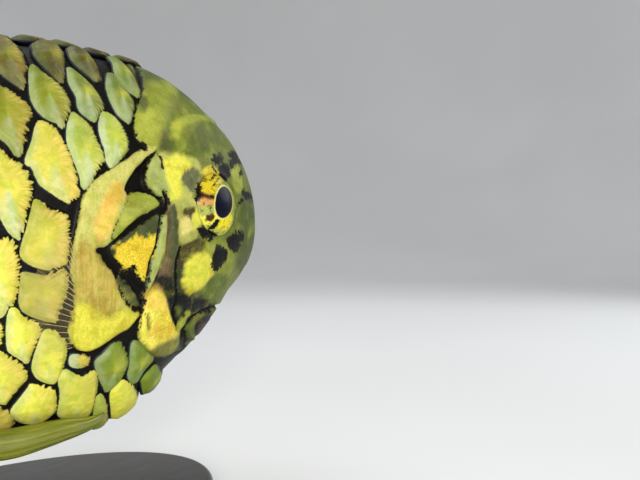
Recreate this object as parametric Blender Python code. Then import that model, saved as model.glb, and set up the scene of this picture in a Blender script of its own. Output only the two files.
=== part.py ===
"""Pinecone fish on a display stand: the solids of a still, life-size museum model.

Lengths below are in millimetres and MM turns them into metres. A place on the body is
(u, y, z): u counts backwards from the snout, y is negative on the right flank, and z is
measured from the level of the eye's lower rim. in_world() puts such a place on the stand.
"""

import math

import bmesh
import bpy
import numpy as np
from mathutils import Matrix, Vector

MM = 0.001
GAP = 0.3

# Body outline: place behind the snout, height of the back, height of the belly, half width
STATIONS = (
    (0.0, 8.0, 0.0, 4.0),
    (1.5, 16.0, -5.0, 7.5),
    (5.0, 25.0, -11.2, 12.0),
    (9.0, 31.5, -15.3, 14.9),
    (14.0, 36.8, -19.5, 18.0),
    (20.0, 41.1, -26.6, 20.9),
    (28.0, 46.5, -34.5, 24.1),
    (37.0, 50.5, -41.6, 26.8),
    (46.0, 52.4, -48.0, 28.1),
    (56.0, 52.8, -52.5, 28.8),
    (67.0, 53.1, -54.0, 29.0),
    (80.0, 51.6, -53.5, 27.0),
    (95.0, 46.9, -46.8, 23.2),
    (118.0, 35.2, -32.3, 14.8),
    (142.0, 18.0, -14.6, 7.7),
    (156.0, 11.0, -9.0, 5.0),
    (161.0, 10.5, -8.5, 4.5),
)
SQUARENESS = 2.15
WIDEST_AT = 0.46
SNOUT_CAP = 0.8

# Parting planes and the whole length
HEAD_END = 52.0
TORSO_END = 133.0
BODY_END = 160.0
LENGTH = 196.8
MIDDLE = (LENGTH - SNOUT_CAP) / 2

# Stand
BELLY_CLEARANCE = 19.0
BASE_THICKNESS = 10.0
BASE_LENGTH = 132.0
BASE_WIDTH = 84.0
BASE_AT = 84.0
BASE_EDGE = 2.0
ROD_AT = 96.0
ROD_RADIUS = 3.0
ROD_FOOT_RADIUS = 6.5
ROD_FOOT_HEIGHT = 3.0
DEEPEST = min(station[2] for station in STATIONS)
LIFT = BASE_THICKNESS + BELLY_CLEARANCE - DEEPEST

# Scutes: spacing, tilt of their cells, and how far a plate stands up
SCUTE_ROWS = 8.2
SCUTE_LEAN = 0.169
SCUTE_STRETCH = 0.288
FLANK_GIRTH = 130.0
SCUTE_RISE = 1.1
SCUTE_CROWN = 0.5
SCUTE_RIM = 0.9
FULL_REACH = 3.0
LONG_EDGE = 10.0
# Scutes from the head to the middle of the body: place behind the snout, share of the girth
FRONT_SCUTES = (
    (51.8, 0.114), (61.5, 0.106), (72.0, 0.118), (56.1, 0.189), (64.8, 0.195), (74.4, 0.203),
    (58.6, 0.294), (66.1, 0.319), (74.8, 0.338), (77.2, 0.475), (77.0, 0.590), (75.0, 0.715),
    (77.4, 0.821), (68.8, 0.712), (66.6, 0.800), (59.2, 0.758), (53.6, 0.853), (50.7, 0.771),
    (43.9, 0.835), (58.3, 0.875), (50.0, 0.045), (59.0, 0.040), (68.0, 0.036), (76.0, 0.034),
    (50.0, 0.925), (60.0, 0.945), (70.0, 0.930), (80.6, 0.152), (82.6, 0.270), (83.8, 0.405),
    (86.2, 0.548), (82.2, 0.662), (83.4, 0.764), (83.0, 0.880), (84.0, 0.036),
)
# Plates of the shoulder, raised like the scutes, which carry the pectoral fin
SHOULDER_PLATES = ((67.6, 0.448), (68.6, 0.525), (67.8, 0.609), (69.8, 0.652))
# Bare bone of the head and under the gill cover, which holds no scute
BARE_PLACES = (
    (45.4, 0.297), (50.3, 0.284), (45.6, 0.190), (43.0, 0.102), (42.0, 0.040), (54.4, 0.370),
    (61.9, 0.400), (58.8, 0.477), (59.5, 0.580), (63.5, 0.665), (54.9, 0.696), (47.8, 0.702),
    (41.3, 0.762), (35.6, 0.875), (42.5, 0.885), (43.5, 0.950),
)
# Further back they stand in columns, a little closer from one column to the next
FIRST_COLUMN = 91.0
COLUMN_STEP = 8.3
COLUMN_SHRINK = 0.955
FIRST_ROW = 0.3
NEIGHBOURS_WITHIN = 40.0

# Dorsal spines: place, length, each leaning back and to one side in turn
SPINES = ((84.0, 13.0), (89.0, 21.0), (94.0, 25.0), (99.0, 23.0), (104.0, 18.0), (108.5, 12.0))
SPINE_RADIUS = 1.9
SPINE_BACK_LEAN = math.radians(42.0)
SPINE_SIDE_LEAN = math.radians(24.0)
SPINE_SUNK = 3.0

# Eye: centre of the orbit, radii across and along the sight line, and the way it looks
EYE_AT = (26.4, 10.4)
EYE_ACROSS = 9.8
EYE_ALONG = 5.5
EYE_SUNK = 2.2
EYE_FORWARD = math.radians(20.0)
EYE_UP = math.radians(4.0)
ORBIT_RIM = 1.3

# Mouth: the cleft runs from the front of the snout down to the corner, then the jaw's rear cut
MOUTH_FRONT = (17.0, -22.0)
MOUTH_CORNER = (40.0, -27.5)
JAW_REAR = (44.5, -52.0)
MOUTH_OPEN = 0.5
LIP_RADIUS = 0.9
NOSTRILS = ((10.5, 19.5, 1.0), (13.5, 17.5, 1.3))

# Plates of the head, as outlines seen from the side: (behind the snout, height)
HEAD_PLATES = {
    "skull_rear": ((50.0, 40.3), (43.2, 44.4), (38.9, 40.3), (41.9, 31.0), (46.0, 25.5), (50.9, 26.5)),
    "skull_front": ((40.8, 34.1), (35.4, 38.8), (26.6, 37.0), (23.9, 30.3), (29.6, 26.1), (37.9, 26.5)),
    "nose_plate": ((15.5, 31.0), (11.5, 29.0), (7.5, 23.5), (8.5, 19.0), (13.0, 22.5), (17.0, 26.5)),
    "cheek_upper": ((50.0, 21.0), (43.0, 23.0), (38.5, 17.0), (40.6, 10.5), (46.6, 12.5)),
    "cheek_middle": ((43.6, 4.0), (39.6, 6.5), (35.0, 3.5), (36.0, -0.5), (41.0, -1.5)),
    "upper_jaw": ((41.0, -5.5), (34.4, -4.0), (27.9, -6.5), (26.4, -14.2), (32.2, -19.2), (39.3, -15.0)),
    "lower_snout": ((23.6, -3.5), (17.0, -3.0), (12.5, -7.5), (14.0, -13.5), (19.5, -17.0), (24.2, -12.0)),
    "preopercle": ((48.2, 8.0), (46.4, 6.5), (47.5, -3.0), (49.2, -14.0), (51.2, -13.0), (50.2, -3.0)),
    "jaw_joint": ((47.5, -14.5), (42.3, -19.0), (40.9, -26.7), (45.1, -33.8), (50.2, -29.6), (51.3, -21.0)),
    "throat_rear": ((50.9, -33.2), (47.1, -35.9), (45.7, -40.9), (47.9, -43.6), (50.8, -38.4)),
    "nape": ((48.5, 45.5), (43.8, 46.6), (39.3, 49.7), (43.5, 50.9)),
}
PLATE_RISE = 0.9
PLATE_CROWN = 0.5
PLATE_SUNK = 1.6

# Gill cover, as an outline seen from the side, and how far it stands off the body
GILL_COVER = (
    (47.6, 13.0), (52.5, 13.5), (58.2, 11.5), (61.0, 4.0), (63.0, -1.5),
    (59.5, -6.5), (56.0, -10.0), (52.8, -13.5), (51.2, -9.5), (51.0, -1.0), (50.6, 7.5),
)
COVER_THICKNESS = 1.2
COVER_STANDOFF = 0.45

# Pelvic spines: centre line of the right one as (place, y, z, radius)
PELVIC_SPINE = (
    (60.0, -19.8, -45.9, 1.0), (62.5, -20.8, -46.9, 1.1), (66.0, -21.6, -47.3, 1.5),
    (70.0, -22.3, -47.2, 2.2), (75.0, -22.2, -47.5, 2.9), (84.0, -20.6, -48.4, 3.5),
    (95.0, -18.6, -48.0, 2.7), (107.0, -17.2, -46.3, 1.4), (116.5, -16.6, -44.7, 0.4),
)
PELVIC_SIDES = 8

# Fins: number of rays, thickness of a ray at its root and tip, thickness of the membrane
RAY_ROOT = 1.5
RAY_TIP = 0.7
MEMBRANE = 0.55
STEPS_ALONG_RAY = 5
EDGE_DIP = 0.25

# Soft dorsal and anal fin: first and last place, greatest length; and their rays
SOFT_DORSAL = (113.0, 136.0, 21.0)
ANAL = (115.0, 136.0, 19.0)
MEDIAN_RAYS = 12

# Tail fin: rays, half its height at the root and at the edge, depth of its notch, rounding of its tips
TAIL_RAYS = 17
TAIL_ROOT = 8.6
TAIL_SPREAD = 22.5
TAIL_NOTCH = 3.5
TAIL_ROUND = 2.0
TAIL_LEVEL = 1.0

# Pectoral fin: upper end of its root, the root's length, its rays and how they fan out and lift
PECTORAL_ROOT = (70.8, -4.0)
PECTORAL_ROOT_LENGTH = 21.5
PECTORAL_RAYS = 13
PECTORAL_FIRST_RISE = math.radians(78.0)
PECTORAL_FAN = math.radians(78.0)
PECTORAL_SHORTEST = 13.0
PECTORAL_EXTRA = 9.0
PECTORAL_STANDOFF = 2.4
PECTORAL_LIFT = 2.6

YELLOW_PLATE = (0.62, 0.50, 0.10)
OLIVE_HEAD = (0.36, 0.39, 0.11)
GOLD_COVER = (0.70, 0.55, 0.09)
TAN_FIN = (0.55, 0.44, 0.18)
OLIVE_SPINE = (0.34, 0.33, 0.06)
NAVY_EYE = (0.010, 0.012, 0.035)
DARK_BASE = (0.030, 0.028, 0.027)
STEEL = (0.55, 0.56, 0.58)


def smooth_curve(places, values):
    """A curve through the given values that doesn't overshoot between them."""
    x = np.array(places, float)
    y = np.array(values, float)
    step = np.diff(x)
    slope = np.diff(y) / step
    tangent = np.empty(len(x))
    tangent[0], tangent[-1] = slope[0], slope[-1]
    product = slope[:-1] * slope[1:]
    total = slope[:-1] + slope[1:]
    tangent[1:-1] = np.where(product > 0, 2 * product / np.where(total == 0, 1, total), 0)

    def value(at):
        at = np.clip(np.asarray(at, float), x[0], x[-1])
        i = np.clip(np.searchsorted(x, at) - 1, 0, len(step) - 1)
        t = (at - x[i]) / step[i]
        rising = (3 - 2 * t) * t * t
        near = t * (1 - t) ** 2 * step[i] * tangent[i]
        far = t * t * (t - 1) * step[i] * tangent[i + 1]
        return (1 - rising) * y[i] + rising * y[i + 1] + near + far

    return value


places = [station[0] for station in STATIONS]
back = smooth_curve(places, [station[1] for station in STATIONS])
belly = smooth_curve(places, [station[2] for station in STATIONS])
half_width = smooth_curve(places, [station[3] for station in STATIONS])


def widest_height(u):
    """Height at which the body is widest."""
    return belly(u) + (back(u) - belly(u)) * WIDEST_AT


def skin_point(u, angle, out=0.0):
    """Point of the right flank at an angle from the belly (-90 degrees) to the back (90), moved out."""
    power = 2.0 / SQUARENESS
    across = abs(math.cos(angle)) ** power
    up = math.copysign(abs(math.sin(angle)) ** power, math.sin(angle))
    middle = float(widest_height(u))
    reach = float(back(u)) - middle if up > 0 else middle - float(belly(u))
    point = np.array((u, -float(half_width(u)) * across, middle + reach * up))
    return point + out * skin_normal(u, angle) if out else point


def skin_normal(u, angle):
    """Outward normal of the right flank there."""
    small = 0.02
    angle = min(max(angle, -math.pi / 2 + small), math.pi / 2 - small)
    along = skin_point(min(u + 0.2, BODY_END), angle) - skin_point(max(u - 0.2, 0.0), angle)
    around = skin_point(u, angle + small) - skin_point(u, angle - small)
    normal = np.cross(along, around)
    normal /= np.linalg.norm(normal)
    return normal if normal[1] < 0 else -normal


def angle_at_height(u, z):
    """Angle on the flank at which the skin has this height."""
    middle = float(widest_height(u))
    reach = float(back(u)) - middle if z > middle else middle - float(belly(u))
    share = min(max((z - middle) / reach, -1.0), 1.0)
    return math.copysign(math.asin(abs(share) ** (SQUARENESS / 2.0)), share)


def angle_at_girth(u, share):
    """Angle at a share of the way round the flank, from the back (0) to the belly (1)."""
    angles = np.linspace(math.pi / 2, -math.pi / 2, 97)
    points = np.array([skin_point(u, angle) for angle in angles])
    arc = np.concatenate(((0.0,), np.cumsum(np.linalg.norm(np.diff(points, axis=0), axis=1))))
    return float(np.interp(share * arc[-1], arc, angles))


def on_skin(place, height, out=0.0):
    """Point of the right flank seen from the side at (place, height), moved out along the normal."""
    return skin_point(place, angle_at_height(place, height), out)


def in_world(point):
    """Body place in millimetres to a point of the model in metres."""
    return Vector(((MIDDLE - point[0]) * MM, point[1] * MM, (point[2] + LIFT) * MM))


def other_side(point):
    """The same place on the left flank."""
    return np.array((point[0], -point[1], point[2]))


def material(name, colour, roughness=0.5, metallic=0.0):
    """Principled material of one node."""
    made = bpy.data.materials.new(name)
    made.use_nodes = True
    shader = made.node_tree.nodes["Principled BSDF"]
    shader.inputs["Base Color"].default_value = (*colour, 1.0)
    shader.inputs["Roughness"].default_value = roughness
    shader.inputs["Metallic"].default_value = metallic
    return made


def add_object(name, mesh_of, finish=None):
    """Object holding the bmesh, with its normals outward."""
    bmesh.ops.recalc_face_normals(mesh_of, faces=mesh_of.faces)
    mesh = bpy.data.meshes.new(name)
    mesh_of.to_mesh(mesh)
    mesh_of.free()
    made = bpy.data.objects.new(name, mesh)
    bpy.context.scene.collection.objects.link(made)
    if finish:
        mesh.materials.append(finish)
    return made


def loft(rings, first_pole=None, last_pole=None):
    """Closed bmesh through rings of equally many points, ended by poles or flat caps."""
    bm = bmesh.new()
    loops = [[bm.verts.new(in_world(point)) for point in ring] for ring in rings]
    count = len(rings[0])
    for one, two in zip(loops, loops[1:]):
        for i in range(count):
            j = (i + 1) % count
            bm.faces.new((one[i], one[j], two[j], two[i]))
    for loop, pole in ((loops[0], first_pole), (loops[-1], last_pole)):
        if pole is None:
            bm.faces.new(loop)
            continue
        tip = bm.verts.new(in_world(pole))
        for i in range(count):
            bm.faces.new((loop[i], loop[(i + 1) % count], tip))
    return bm


def body_ring(u, around):
    """Points of the whole cross-section, right flank first from back to belly, then the left."""
    angles = np.linspace(math.pi / 2, -math.pi / 2, around // 2 + 1)
    right = [skin_point(u, angle) for angle in angles]
    left = [other_side(point) for point in right[-2:0:-1]]
    return right + left


def join_all(base, pieces, operation="UNION", solver="EXACT"):
    """Applies one Boolean of all the pieces to the base, keeps its largest closed surface."""
    group = bpy.data.collections.new("pieces")
    bpy.context.scene.collection.children.link(group)
    for piece in pieces:
        bpy.context.scene.collection.objects.unlink(piece)
        group.objects.link(piece)
    joint = base.modifiers.new("join", "BOOLEAN")
    joint.operation = operation
    joint.operand_type = "COLLECTION"
    joint.collection = group
    joint.solver = solver
    graph = bpy.context.evaluated_depsgraph_get()
    result = bpy.data.meshes.new_from_object(base.evaluated_get(graph))
    base.modifiers.clear()
    base.data = result
    for piece in pieces:
        bpy.data.objects.remove(piece)
    bpy.data.collections.remove(group)
    keep_largest(base)


def keep_largest(made):
    """Deletes every closed surface of the mesh but the one with most faces."""
    bm = bmesh.new()
    bm.from_mesh(made.data)
    unseen = set(bm.verts)
    surfaces = []
    while unseen:
        waiting = [unseen.pop()]
        surface = set(waiting)
        while waiting:
            for edge in waiting.pop().link_edges:
                for vert in edge.verts:
                    if vert in unseen:
                        unseen.discard(vert)
                        surface.add(vert)
                        waiting.append(vert)
        surfaces.append(surface)
    largest = max(surfaces, key=len)
    bmesh.ops.delete(bm, geom=[vert for vert in bm.verts if vert not in largest], context="VERTS")
    bm.to_mesh(made.data)
    bm.free()


def plate(outline, rise, crown, sunk, mirrored=False):
    """Closed plate that follows the flank: its rim, a raised shoulder inside it, and a crowned middle."""
    centre = np.mean(np.array(outline), axis=0)
    levels = ((1.0, -sunk), (1.0, 0.02), (0.82, rise), (0.4, rise + crown * 0.8))
    rings = []
    for share, out in levels:
        ring = [on_skin(*(centre + (np.array(corner) - centre) * share), out) for corner in outline]
        rings.append([other_side(point) for point in ring] if mirrored else ring)
    top = on_skin(*centre, rise + crown)
    floor = on_skin(*centre, -sunk)
    if mirrored:
        top, floor = other_side(top), other_side(floor)
    return loft(rings, floor, top)


def tube(points, radii, sides, tips=False):
    """Closed tube along points given as body places, its ends flat or drawn to a point."""
    points = [np.array(point, float) for point in points]
    rings = []
    for i, (point, radius) in enumerate(zip(points, radii)):
        ahead = points[min(i + 1, len(points) - 1)] - points[max(i - 1, 0)]
        ahead /= np.linalg.norm(ahead)
        side = np.cross(ahead, (0.0, 0.0, 1.0))
        side /= np.linalg.norm(side)
        up = np.cross(side, ahead)
        turns = [2 * math.pi * k / sides for k in range(sides)]
        rings.append([point + radius * (math.cos(a) * side + math.sin(a) * up) for a in turns])
    if not tips:
        return loft(rings)
    return loft(rings, None, points[-1] + (points[-1] - points[-2]) * 0.2)


def eye_frame(mirrored):
    """Centre of the eyeball in the model, and the rotation that turns +Z along its sight line."""
    out = np.array((
        -math.sin(EYE_FORWARD) * math.cos(EYE_UP),
        -math.cos(EYE_FORWARD) * math.cos(EYE_UP),
        math.sin(EYE_UP),
    ))
    centre = on_skin(*EYE_AT) - out * EYE_SUNK
    if mirrored:
        centre, out = other_side(centre), other_side(out)
    sight = Vector((-out[0], out[1], out[2]))
    return in_world(centre), sight.to_track_quat("Z", "Y").to_matrix().to_4x4()


def eyeball(grown, mirrored, segments=20):
    """Flattened ball of the eye, larger all round by grown."""
    centre, turn = eye_frame(mirrored)
    across = (EYE_ACROSS + grown) * MM
    along = (EYE_ALONG + grown) * MM
    place = Matrix.Translation(centre) @ turn @ Matrix.Diagonal((across, across, along, 1.0))
    bm = bmesh.new()
    bmesh.ops.create_uvsphere(bm, u_segments=segments, v_segments=segments // 2, radius=1.0, matrix=place)
    return bm


def orbit_ring(mirrored):
    """Raised rim of bone round the eye, with the upper and lower lids of the socket."""
    centre, turn = eye_frame(mirrored)
    radius = (EYE_ACROSS + 0.5) * MM
    height = EYE_SUNK * 0.75 * MM
    turns, sides = 18, 6
    bm = bmesh.new()
    loops = []
    for i in range(turns):
        a = 2 * math.pi * i / turns
        loop = []
        for k in range(sides):
            b = 2 * math.pi * k / sides
            r = radius + ORBIT_RIM * MM * math.cos(b)
            point = Vector((r * math.cos(a), r * math.sin(a), height + ORBIT_RIM * MM * math.sin(b)))
            loop.append(bm.verts.new(centre + turn.to_3x3() @ point))
        loops.append(loop)
    for i in range(turns):
        one, two = loops[i], loops[(i + 1) % turns]
        for k in range(sides):
            bm.faces.new((one[k], one[(k + 1) % sides], two[(k + 1) % sides], two[k]))
    return bm


def place_of_belly(height):
    """Place behind the snout at which the underside of the head has this height."""
    head = [station for station in STATIONS if station[0] <= HEAD_END]
    return float(np.interp(-height, [-station[2] for station in head], [station[0] for station in head]))


def mouth_line(down=0.0):
    """Route of the cleft round the front of the head, from the right corner to the left one."""
    slope = (MOUTH_CORNER[1] - MOUTH_FRONT[1]) / (MOUTH_CORNER[0] - MOUTH_FRONT[0])
    front_height = MOUTH_FRONT[1] - down
    front = np.array((place_of_belly(front_height), 0.0, front_height))
    right = []
    for place in np.linspace(MOUTH_CORNER[0] - 0.5, front[0] + 2.0, 10):
        height = MOUTH_FRONT[1] + slope * (place - MOUTH_FRONT[0]) - down
        right.append(on_skin(place, height, 0.1))
    return right + [front] + [other_side(point) for point in right[::-1]]


def wedge_below_mouth(grown):
    """Block that holds the lower jaw: under the cleft and in front of the rear cut."""
    front, corner, rear = (np.array(p) for p in (MOUTH_FRONT, MOUTH_CORNER, JAW_REAR))
    lead = front + (front - corner)
    side = 40.0
    outline = [lead, corner, rear + (rear - corner) * 0.3, np.array((lead[0], -80.0))]
    shift = np.array(((0.0, grown), (grown, grown), (grown, 0.0), (0.0, 0.0)))
    corners = [point + move for point, move in zip(outline, shift)]
    return loft([[(u, y, z) for u, z in corners] for y in (-side, side)])


def head_shell(name, finish):
    """Head from the snout to the parting plane, plain."""
    first = 0.35
    places = first + (HEAD_END - GAP / 2 - first) * np.linspace(0.0, 1.0, 21) ** 1.35
    rings = [body_ring(u, 36) for u in places]
    nose = (-SNOUT_CAP, 0.0, float(widest_height(0.0)))
    return add_object(name, loft(rings, nose, None), finish)


def build_head():
    """Head with its plates, orbits, lips and nostrils, open where the lower jaw sits."""
    head = head_shell("head", material("head", OLIVE_HEAD, 0.55))
    pieces = []
    for name, outline in HEAD_PLATES.items():
        for mirrored in (False, True):
            pieces.append(add_object(name, plate(outline, PLATE_RISE, PLATE_CROWN, PLATE_SUNK, mirrored)))
    for mirrored in (False, True):
        pieces.append(add_object("orbit", orbit_ring(mirrored)))
    join_all(head, pieces)
    cuts = [add_object("jaw_space", wedge_below_mouth(0.0))]
    for mirrored in (False, True):
        cuts.append(add_object("socket", eyeball(GAP, mirrored)))
        for place, height, radius in NOSTRILS:
            ends = [on_skin(place, height, out) for out in (-1.6, 1.0)]
            if mirrored:
                ends = [other_side(point) for point in ends]
            cuts.append(add_object("nostril", tube(ends, (radius * 0.6, radius), 8)))
    join_all(head, cuts, "DIFFERENCE")
    lip = mouth_line(-LIP_RADIUS - 0.1)
    join_all(head, [add_object("upper_lip", tube(lip, [LIP_RADIUS] * len(lip), 6))])


def build_lower_jaw():
    """Lower jaw: what the cleft and the rear cut part from the head, with its lip."""
    jaw = head_shell("lower_jaw", material("lower_jaw", GOLD_COVER, 0.5))
    join_all(jaw, [add_object("keep", wedge_below_mouth(-MOUTH_OPEN))], "INTERSECT")
    lip = mouth_line(LIP_RADIUS + MOUTH_OPEN + 0.1)
    join_all(jaw, [add_object("lower_lip", tube(lip, [LIP_RADIUS] * len(lip), 6))])


def build_eyes():
    """Two eyeballs in their sockets."""
    for name, mirrored in (("eye_right", False), ("eye_left", True)):
        add_object(name, eyeball(0.0, mirrored, 24), material(name, NAVY_EYE, 0.08))


def build_gill_covers():
    """Two gill covers that lie on the sides just clear of head and torso."""
    for name, mirrored in (("opercle_right", False), ("opercle_left", True)):
        centre = np.mean(np.array(GILL_COVER), axis=0)
        levels = (
            (0.5, COVER_STANDOFF), (1.0, COVER_STANDOFF),
            (1.0, COVER_STANDOFF + 0.5), (0.88, COVER_STANDOFF + COVER_THICKNESS), (0.4, 2.1),
        )
        rings = []
        for share, out in levels:
            ring = [on_skin(*(centre + (np.array(p) - centre) * share), out) for p in GILL_COVER]
            rings.append([other_side(point) for point in ring] if mirrored else ring)
        ends = [on_skin(*centre, out) for out in (COVER_STANDOFF, 2.3)]
        if mirrored:
            ends = [other_side(point) for point in ends]
        add_object(name, loft(rings, ends[0], ends[1]), material(name, GOLD_COVER, 0.5))


def scute_seeds():
    """Centres of the plates of one flank: place, share of the girth, and 1 where the plate is raised."""
    seeds = [(place, share, 1) for place, share in FRONT_SCUTES + SHOULDER_PLATES]
    seeds += [(place, share, 0) for place, share in BARE_PLACES]
    place, step, column = FIRST_COLUMN, COLUMN_STEP, 1
    while place < BODY_END:
        share = (FIRST_ROW + 0.5 * (column % 2)) / SCUTE_ROWS
        while share < 1.0:
            seeds.append((place, share, 1))
            share += 1.0 / SCUTE_ROWS
        place += step
        step *= COLUMN_SHRINK
        column += 1
    return seeds


def scute_cell(seed, seeds, first, last):
    """Outline of the flank nearest to this seed, between two places, as (place, share) corners."""
    metric = np.array(((1.0, SCUTE_LEAN), (SCUTE_LEAN, SCUTE_STRETCH)))
    here = np.array((seed[0], seed[1] * FLANK_GIRTH))
    corners = [np.array(c) for c in ((first, 0.0), (last, 0.0), (last, FLANK_GIRTH), (first, FLANK_GIRTH))]
    for other in seeds:
        there = np.array((other[0], other[1] * FLANK_GIRTH))
        if other is seed or abs(there[0] - here[0]) > NEIGHBOURS_WITHIN:
            continue
        way = metric @ (there - here)
        middle = (here + there) / 2
        kept = []
        for one, two in zip(corners, corners[1:] + corners[:1]):
            side_one = (one - middle) @ way
            side_two = (two - middle) @ way
            if side_one <= 0:
                kept.append(one)
            if side_one * side_two < 0:
                kept.append(one + (two - one) * side_one / (side_one - side_two))
        corners = kept
        if len(corners) < 3:
            return []
    return [(corner[0], corner[1] / FLANK_GIRTH) for corner in corners]


def to_skin(vert, out):
    """Moves a vertex radially in its cross-section onto the skin, then out."""
    u = MIDDLE - vert.co.x / MM
    y = vert.co.y / MM
    z = vert.co.z / MM - LIFT
    middle = float(widest_height(u))
    reach = float(back(u)) - middle if z > middle else middle - float(belly(u))
    size = (abs(y) / float(half_width(u))) ** SQUARENESS + (abs(z - middle) / reach) ** SQUARENESS
    scale = size ** (-1.0 / SQUARENESS)
    offset = Vector((0.0, y * scale, (z - middle) * scale))
    far = offset.length
    offset *= (far + out) / far
    vert.co = in_world((u, offset.y, middle + offset.z))


def armoured_length(name, first, last, finish):
    """Length of the body whose surface is tiled with raised scutes, flat at both ends."""
    seeds = scute_seeds()
    bm = bmesh.new()
    raised = bm.faces.layers.int.new("raised")
    for seed in seeds:
        cell = scute_cell(seed, seeds, first, last)
        if not cell:
            continue
        right = [skin_point(u, angle_at_girth(u, share)) for u, share in cell]
        for points in (right, [other_side(point) for point in right[::-1]]):
            face = bm.faces.new([bm.verts.new(in_world(point)) for point in points])
            face[raised] = seed[2]
    bmesh.ops.remove_doubles(bm, verts=bm.verts, dist=0.02 * MM)
    bmesh.ops.dissolve_degenerate(bm, dist=0.05 * MM, edges=bm.edges)
    long_edges = [edge for edge in bm.edges if edge.calc_length() > LONG_EDGE * MM]
    old = set(bm.verts)
    bmesh.ops.subdivide_edges(bm, edges=long_edges, cuts=1)
    for vert in bm.verts:
        if vert not in old:
            to_skin(vert, 0.0)
    ends = bmesh.ops.holes_fill(bm, edges=[edge for edge in bm.edges if edge.is_boundary])
    for face in ends["faces"]:
        face[raised] = 0
    bmesh.ops.recalc_face_normals(bm, faces=bm.faces)
    for face in [face for face in bm.faces if face[raised]]:
        reach = min((face.calc_center_median() - edge_middle(edge)).length for edge in face.edges) / MM
        rim = min(SCUTE_RIM, reach * 0.35)
        rise = SCUTE_RISE * min(1.0, reach / FULL_REACH)
        bmesh.ops.inset_individual(
            bm, faces=[face], thickness=rim * MM, depth=rise * MM, use_even_offset=True,
        )
        poked = bmesh.ops.poke(bm, faces=[face])
        for vert in poked["verts"]:
            to_skin(vert, rise + SCUTE_CROWN)
    bmesh.ops.triangulate(bm, faces=bm.faces)
    return add_object(name, bm, finish)


def edge_middle(edge):
    """Middle of an edge."""
    return (edge.verts[0].co + edge.verts[1].co) / 2


def build_torso():
    """Armoured torso with the separate spines of the first dorsal fin."""
    finish = material("torso", YELLOW_PLATE, 0.45)
    torso = armoured_length("torso", HEAD_END + GAP / 2, TORSO_END - GAP / 2, finish)
    spines = []
    for number, (place, length) in enumerate(SPINES):
        side = 1 if number % 2 else -1
        way = np.array((
            math.sin(SPINE_BACK_LEAN),
            side * math.sin(SPINE_SIDE_LEAN) * math.cos(SPINE_BACK_LEAN),
            math.cos(SPINE_SIDE_LEAN) * math.cos(SPINE_BACK_LEAN),
        ))
        root = np.array((place, side * 0.8, float(back(place)))) - way * SPINE_SUNK
        points = [root + way * share * (length + SPINE_SUNK) for share in (0.0, 0.25, 0.65, 0.97)]
        radii = [SPINE_RADIUS * size for size in (1.15, 1.1, 0.62, 0.16)]
        spines.append(add_object("spine", tube(points, radii, 6, tips=True)))
    join_all(torso, spines, solver="MANIFOLD")


def build_tail_stalk():
    """Armoured tail stalk, which carries the tail fin."""
    finish = material("tail_stalk", YELLOW_PLATE, 0.45)
    armoured_length("tail_stalk", TORSO_END + GAP / 2, BODY_END, finish)


def fin(name, rays, finish, normal_of, thin=1.0):
    """Fin from its rays' centre lines: each ray is a ridge raised in the membrane's own surface.

    rays is a list of lists of points. Between two rays runs the membrane, a little shorter.
    """
    columns = []
    for number, ray in enumerate(rays):
        columns.append((np.array(ray, float), True))
        if number + 1 < len(rays):
            between = (np.array(ray, float) + np.array(rays[number + 1], float)) / 2
            between[-1] = between[-1] * (1 - EDGE_DIP) + between[-2] * EDGE_DIP
            columns.append((between, False))
    steps = len(columns[0][0])
    bm = bmesh.new()
    sheets = {1: [], -1: []}
    for line, is_ray in columns:
        for face_side in (1, -1):
            loop = []
            for j, point in enumerate(line):
                share = j / (steps - 1)
                thick = (RAY_ROOT * (1 - share) + RAY_TIP * share) if is_ray else MEMBRANE
                loop.append(bm.verts.new(in_world(point + normal_of(point) * face_side * thick * thin / 2)))
            sheets[face_side].append(loop)
    for face_side, loops in sheets.items():
        for one, two in zip(loops, loops[1:]):
            for j in range(steps - 1):
                for corners in ((one[j], two[j], two[j + 1]), (one[j], two[j + 1], one[j + 1])):
                    bm.faces.new(corners if face_side > 0 else corners[::-1])
    top, under = sheets[1], sheets[-1]
    border = [(k, 0) for k in range(len(columns))]
    border += [(len(columns) - 1, j) for j in range(1, steps)]
    border += [(k, steps - 1) for k in range(len(columns) - 2, -1, -1)]
    border += [(0, j) for j in range(steps - 2, 0, -1)]
    for (k, j), (m, n) in zip(border, border[1:] + border[:1]):
        bm.faces.new((top[k][j], under[k][j], under[m][n]))
        bm.faces.new((top[k][j], under[m][n], top[m][n]))
    return add_object(name, bm, finish)


def ray_points(root, tip, bow):
    """Points from a ray's root to its tip, bowed at the middle."""
    root, tip, bow = (np.array(p, float) for p in (root, tip, bow))
    shares = np.linspace(0.0, 1.0, STEPS_ALONG_RAY)
    return [root + (tip - root) * s + bow * math.sin(math.pi * s) for s in shares]


def across_middle(point):
    """Direction across a fin that stands in the middle plane."""
    return np.array((0.0, 1.0, 0.0))


def build_median_fins():
    """Soft dorsal fin and anal fin, upright in the middle plane."""
    for name, (first, last, tallest), edge, way in (
        ("soft_dorsal_fin", SOFT_DORSAL, back, 1), ("anal_fin", ANAL, belly, -1),
    ):
        rays = []
        for share in np.linspace(0.0, 1.0, MEDIAN_RAYS):
            place = first + (last - first) * share
            swell = 0.72 + 0.28 * math.sin(math.pi * min(1.0, share * 1.25 + 0.12))
            length = tallest * swell * (1 - 0.38 * share)
            root = (place, 0.0, float(edge(place)) + way * (SCUTE_RISE + GAP))
            lean = 0.42 + 0.55 * share
            tip = (place + length * math.sin(lean), 0.0, root[2] + way * length * math.cos(lean))
            rays.append(ray_points(root, tip, (0.6, 0.0, way * 0.5)))
        fin(name, rays, material(name, TAN_FIN, 0.5), across_middle)


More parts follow.
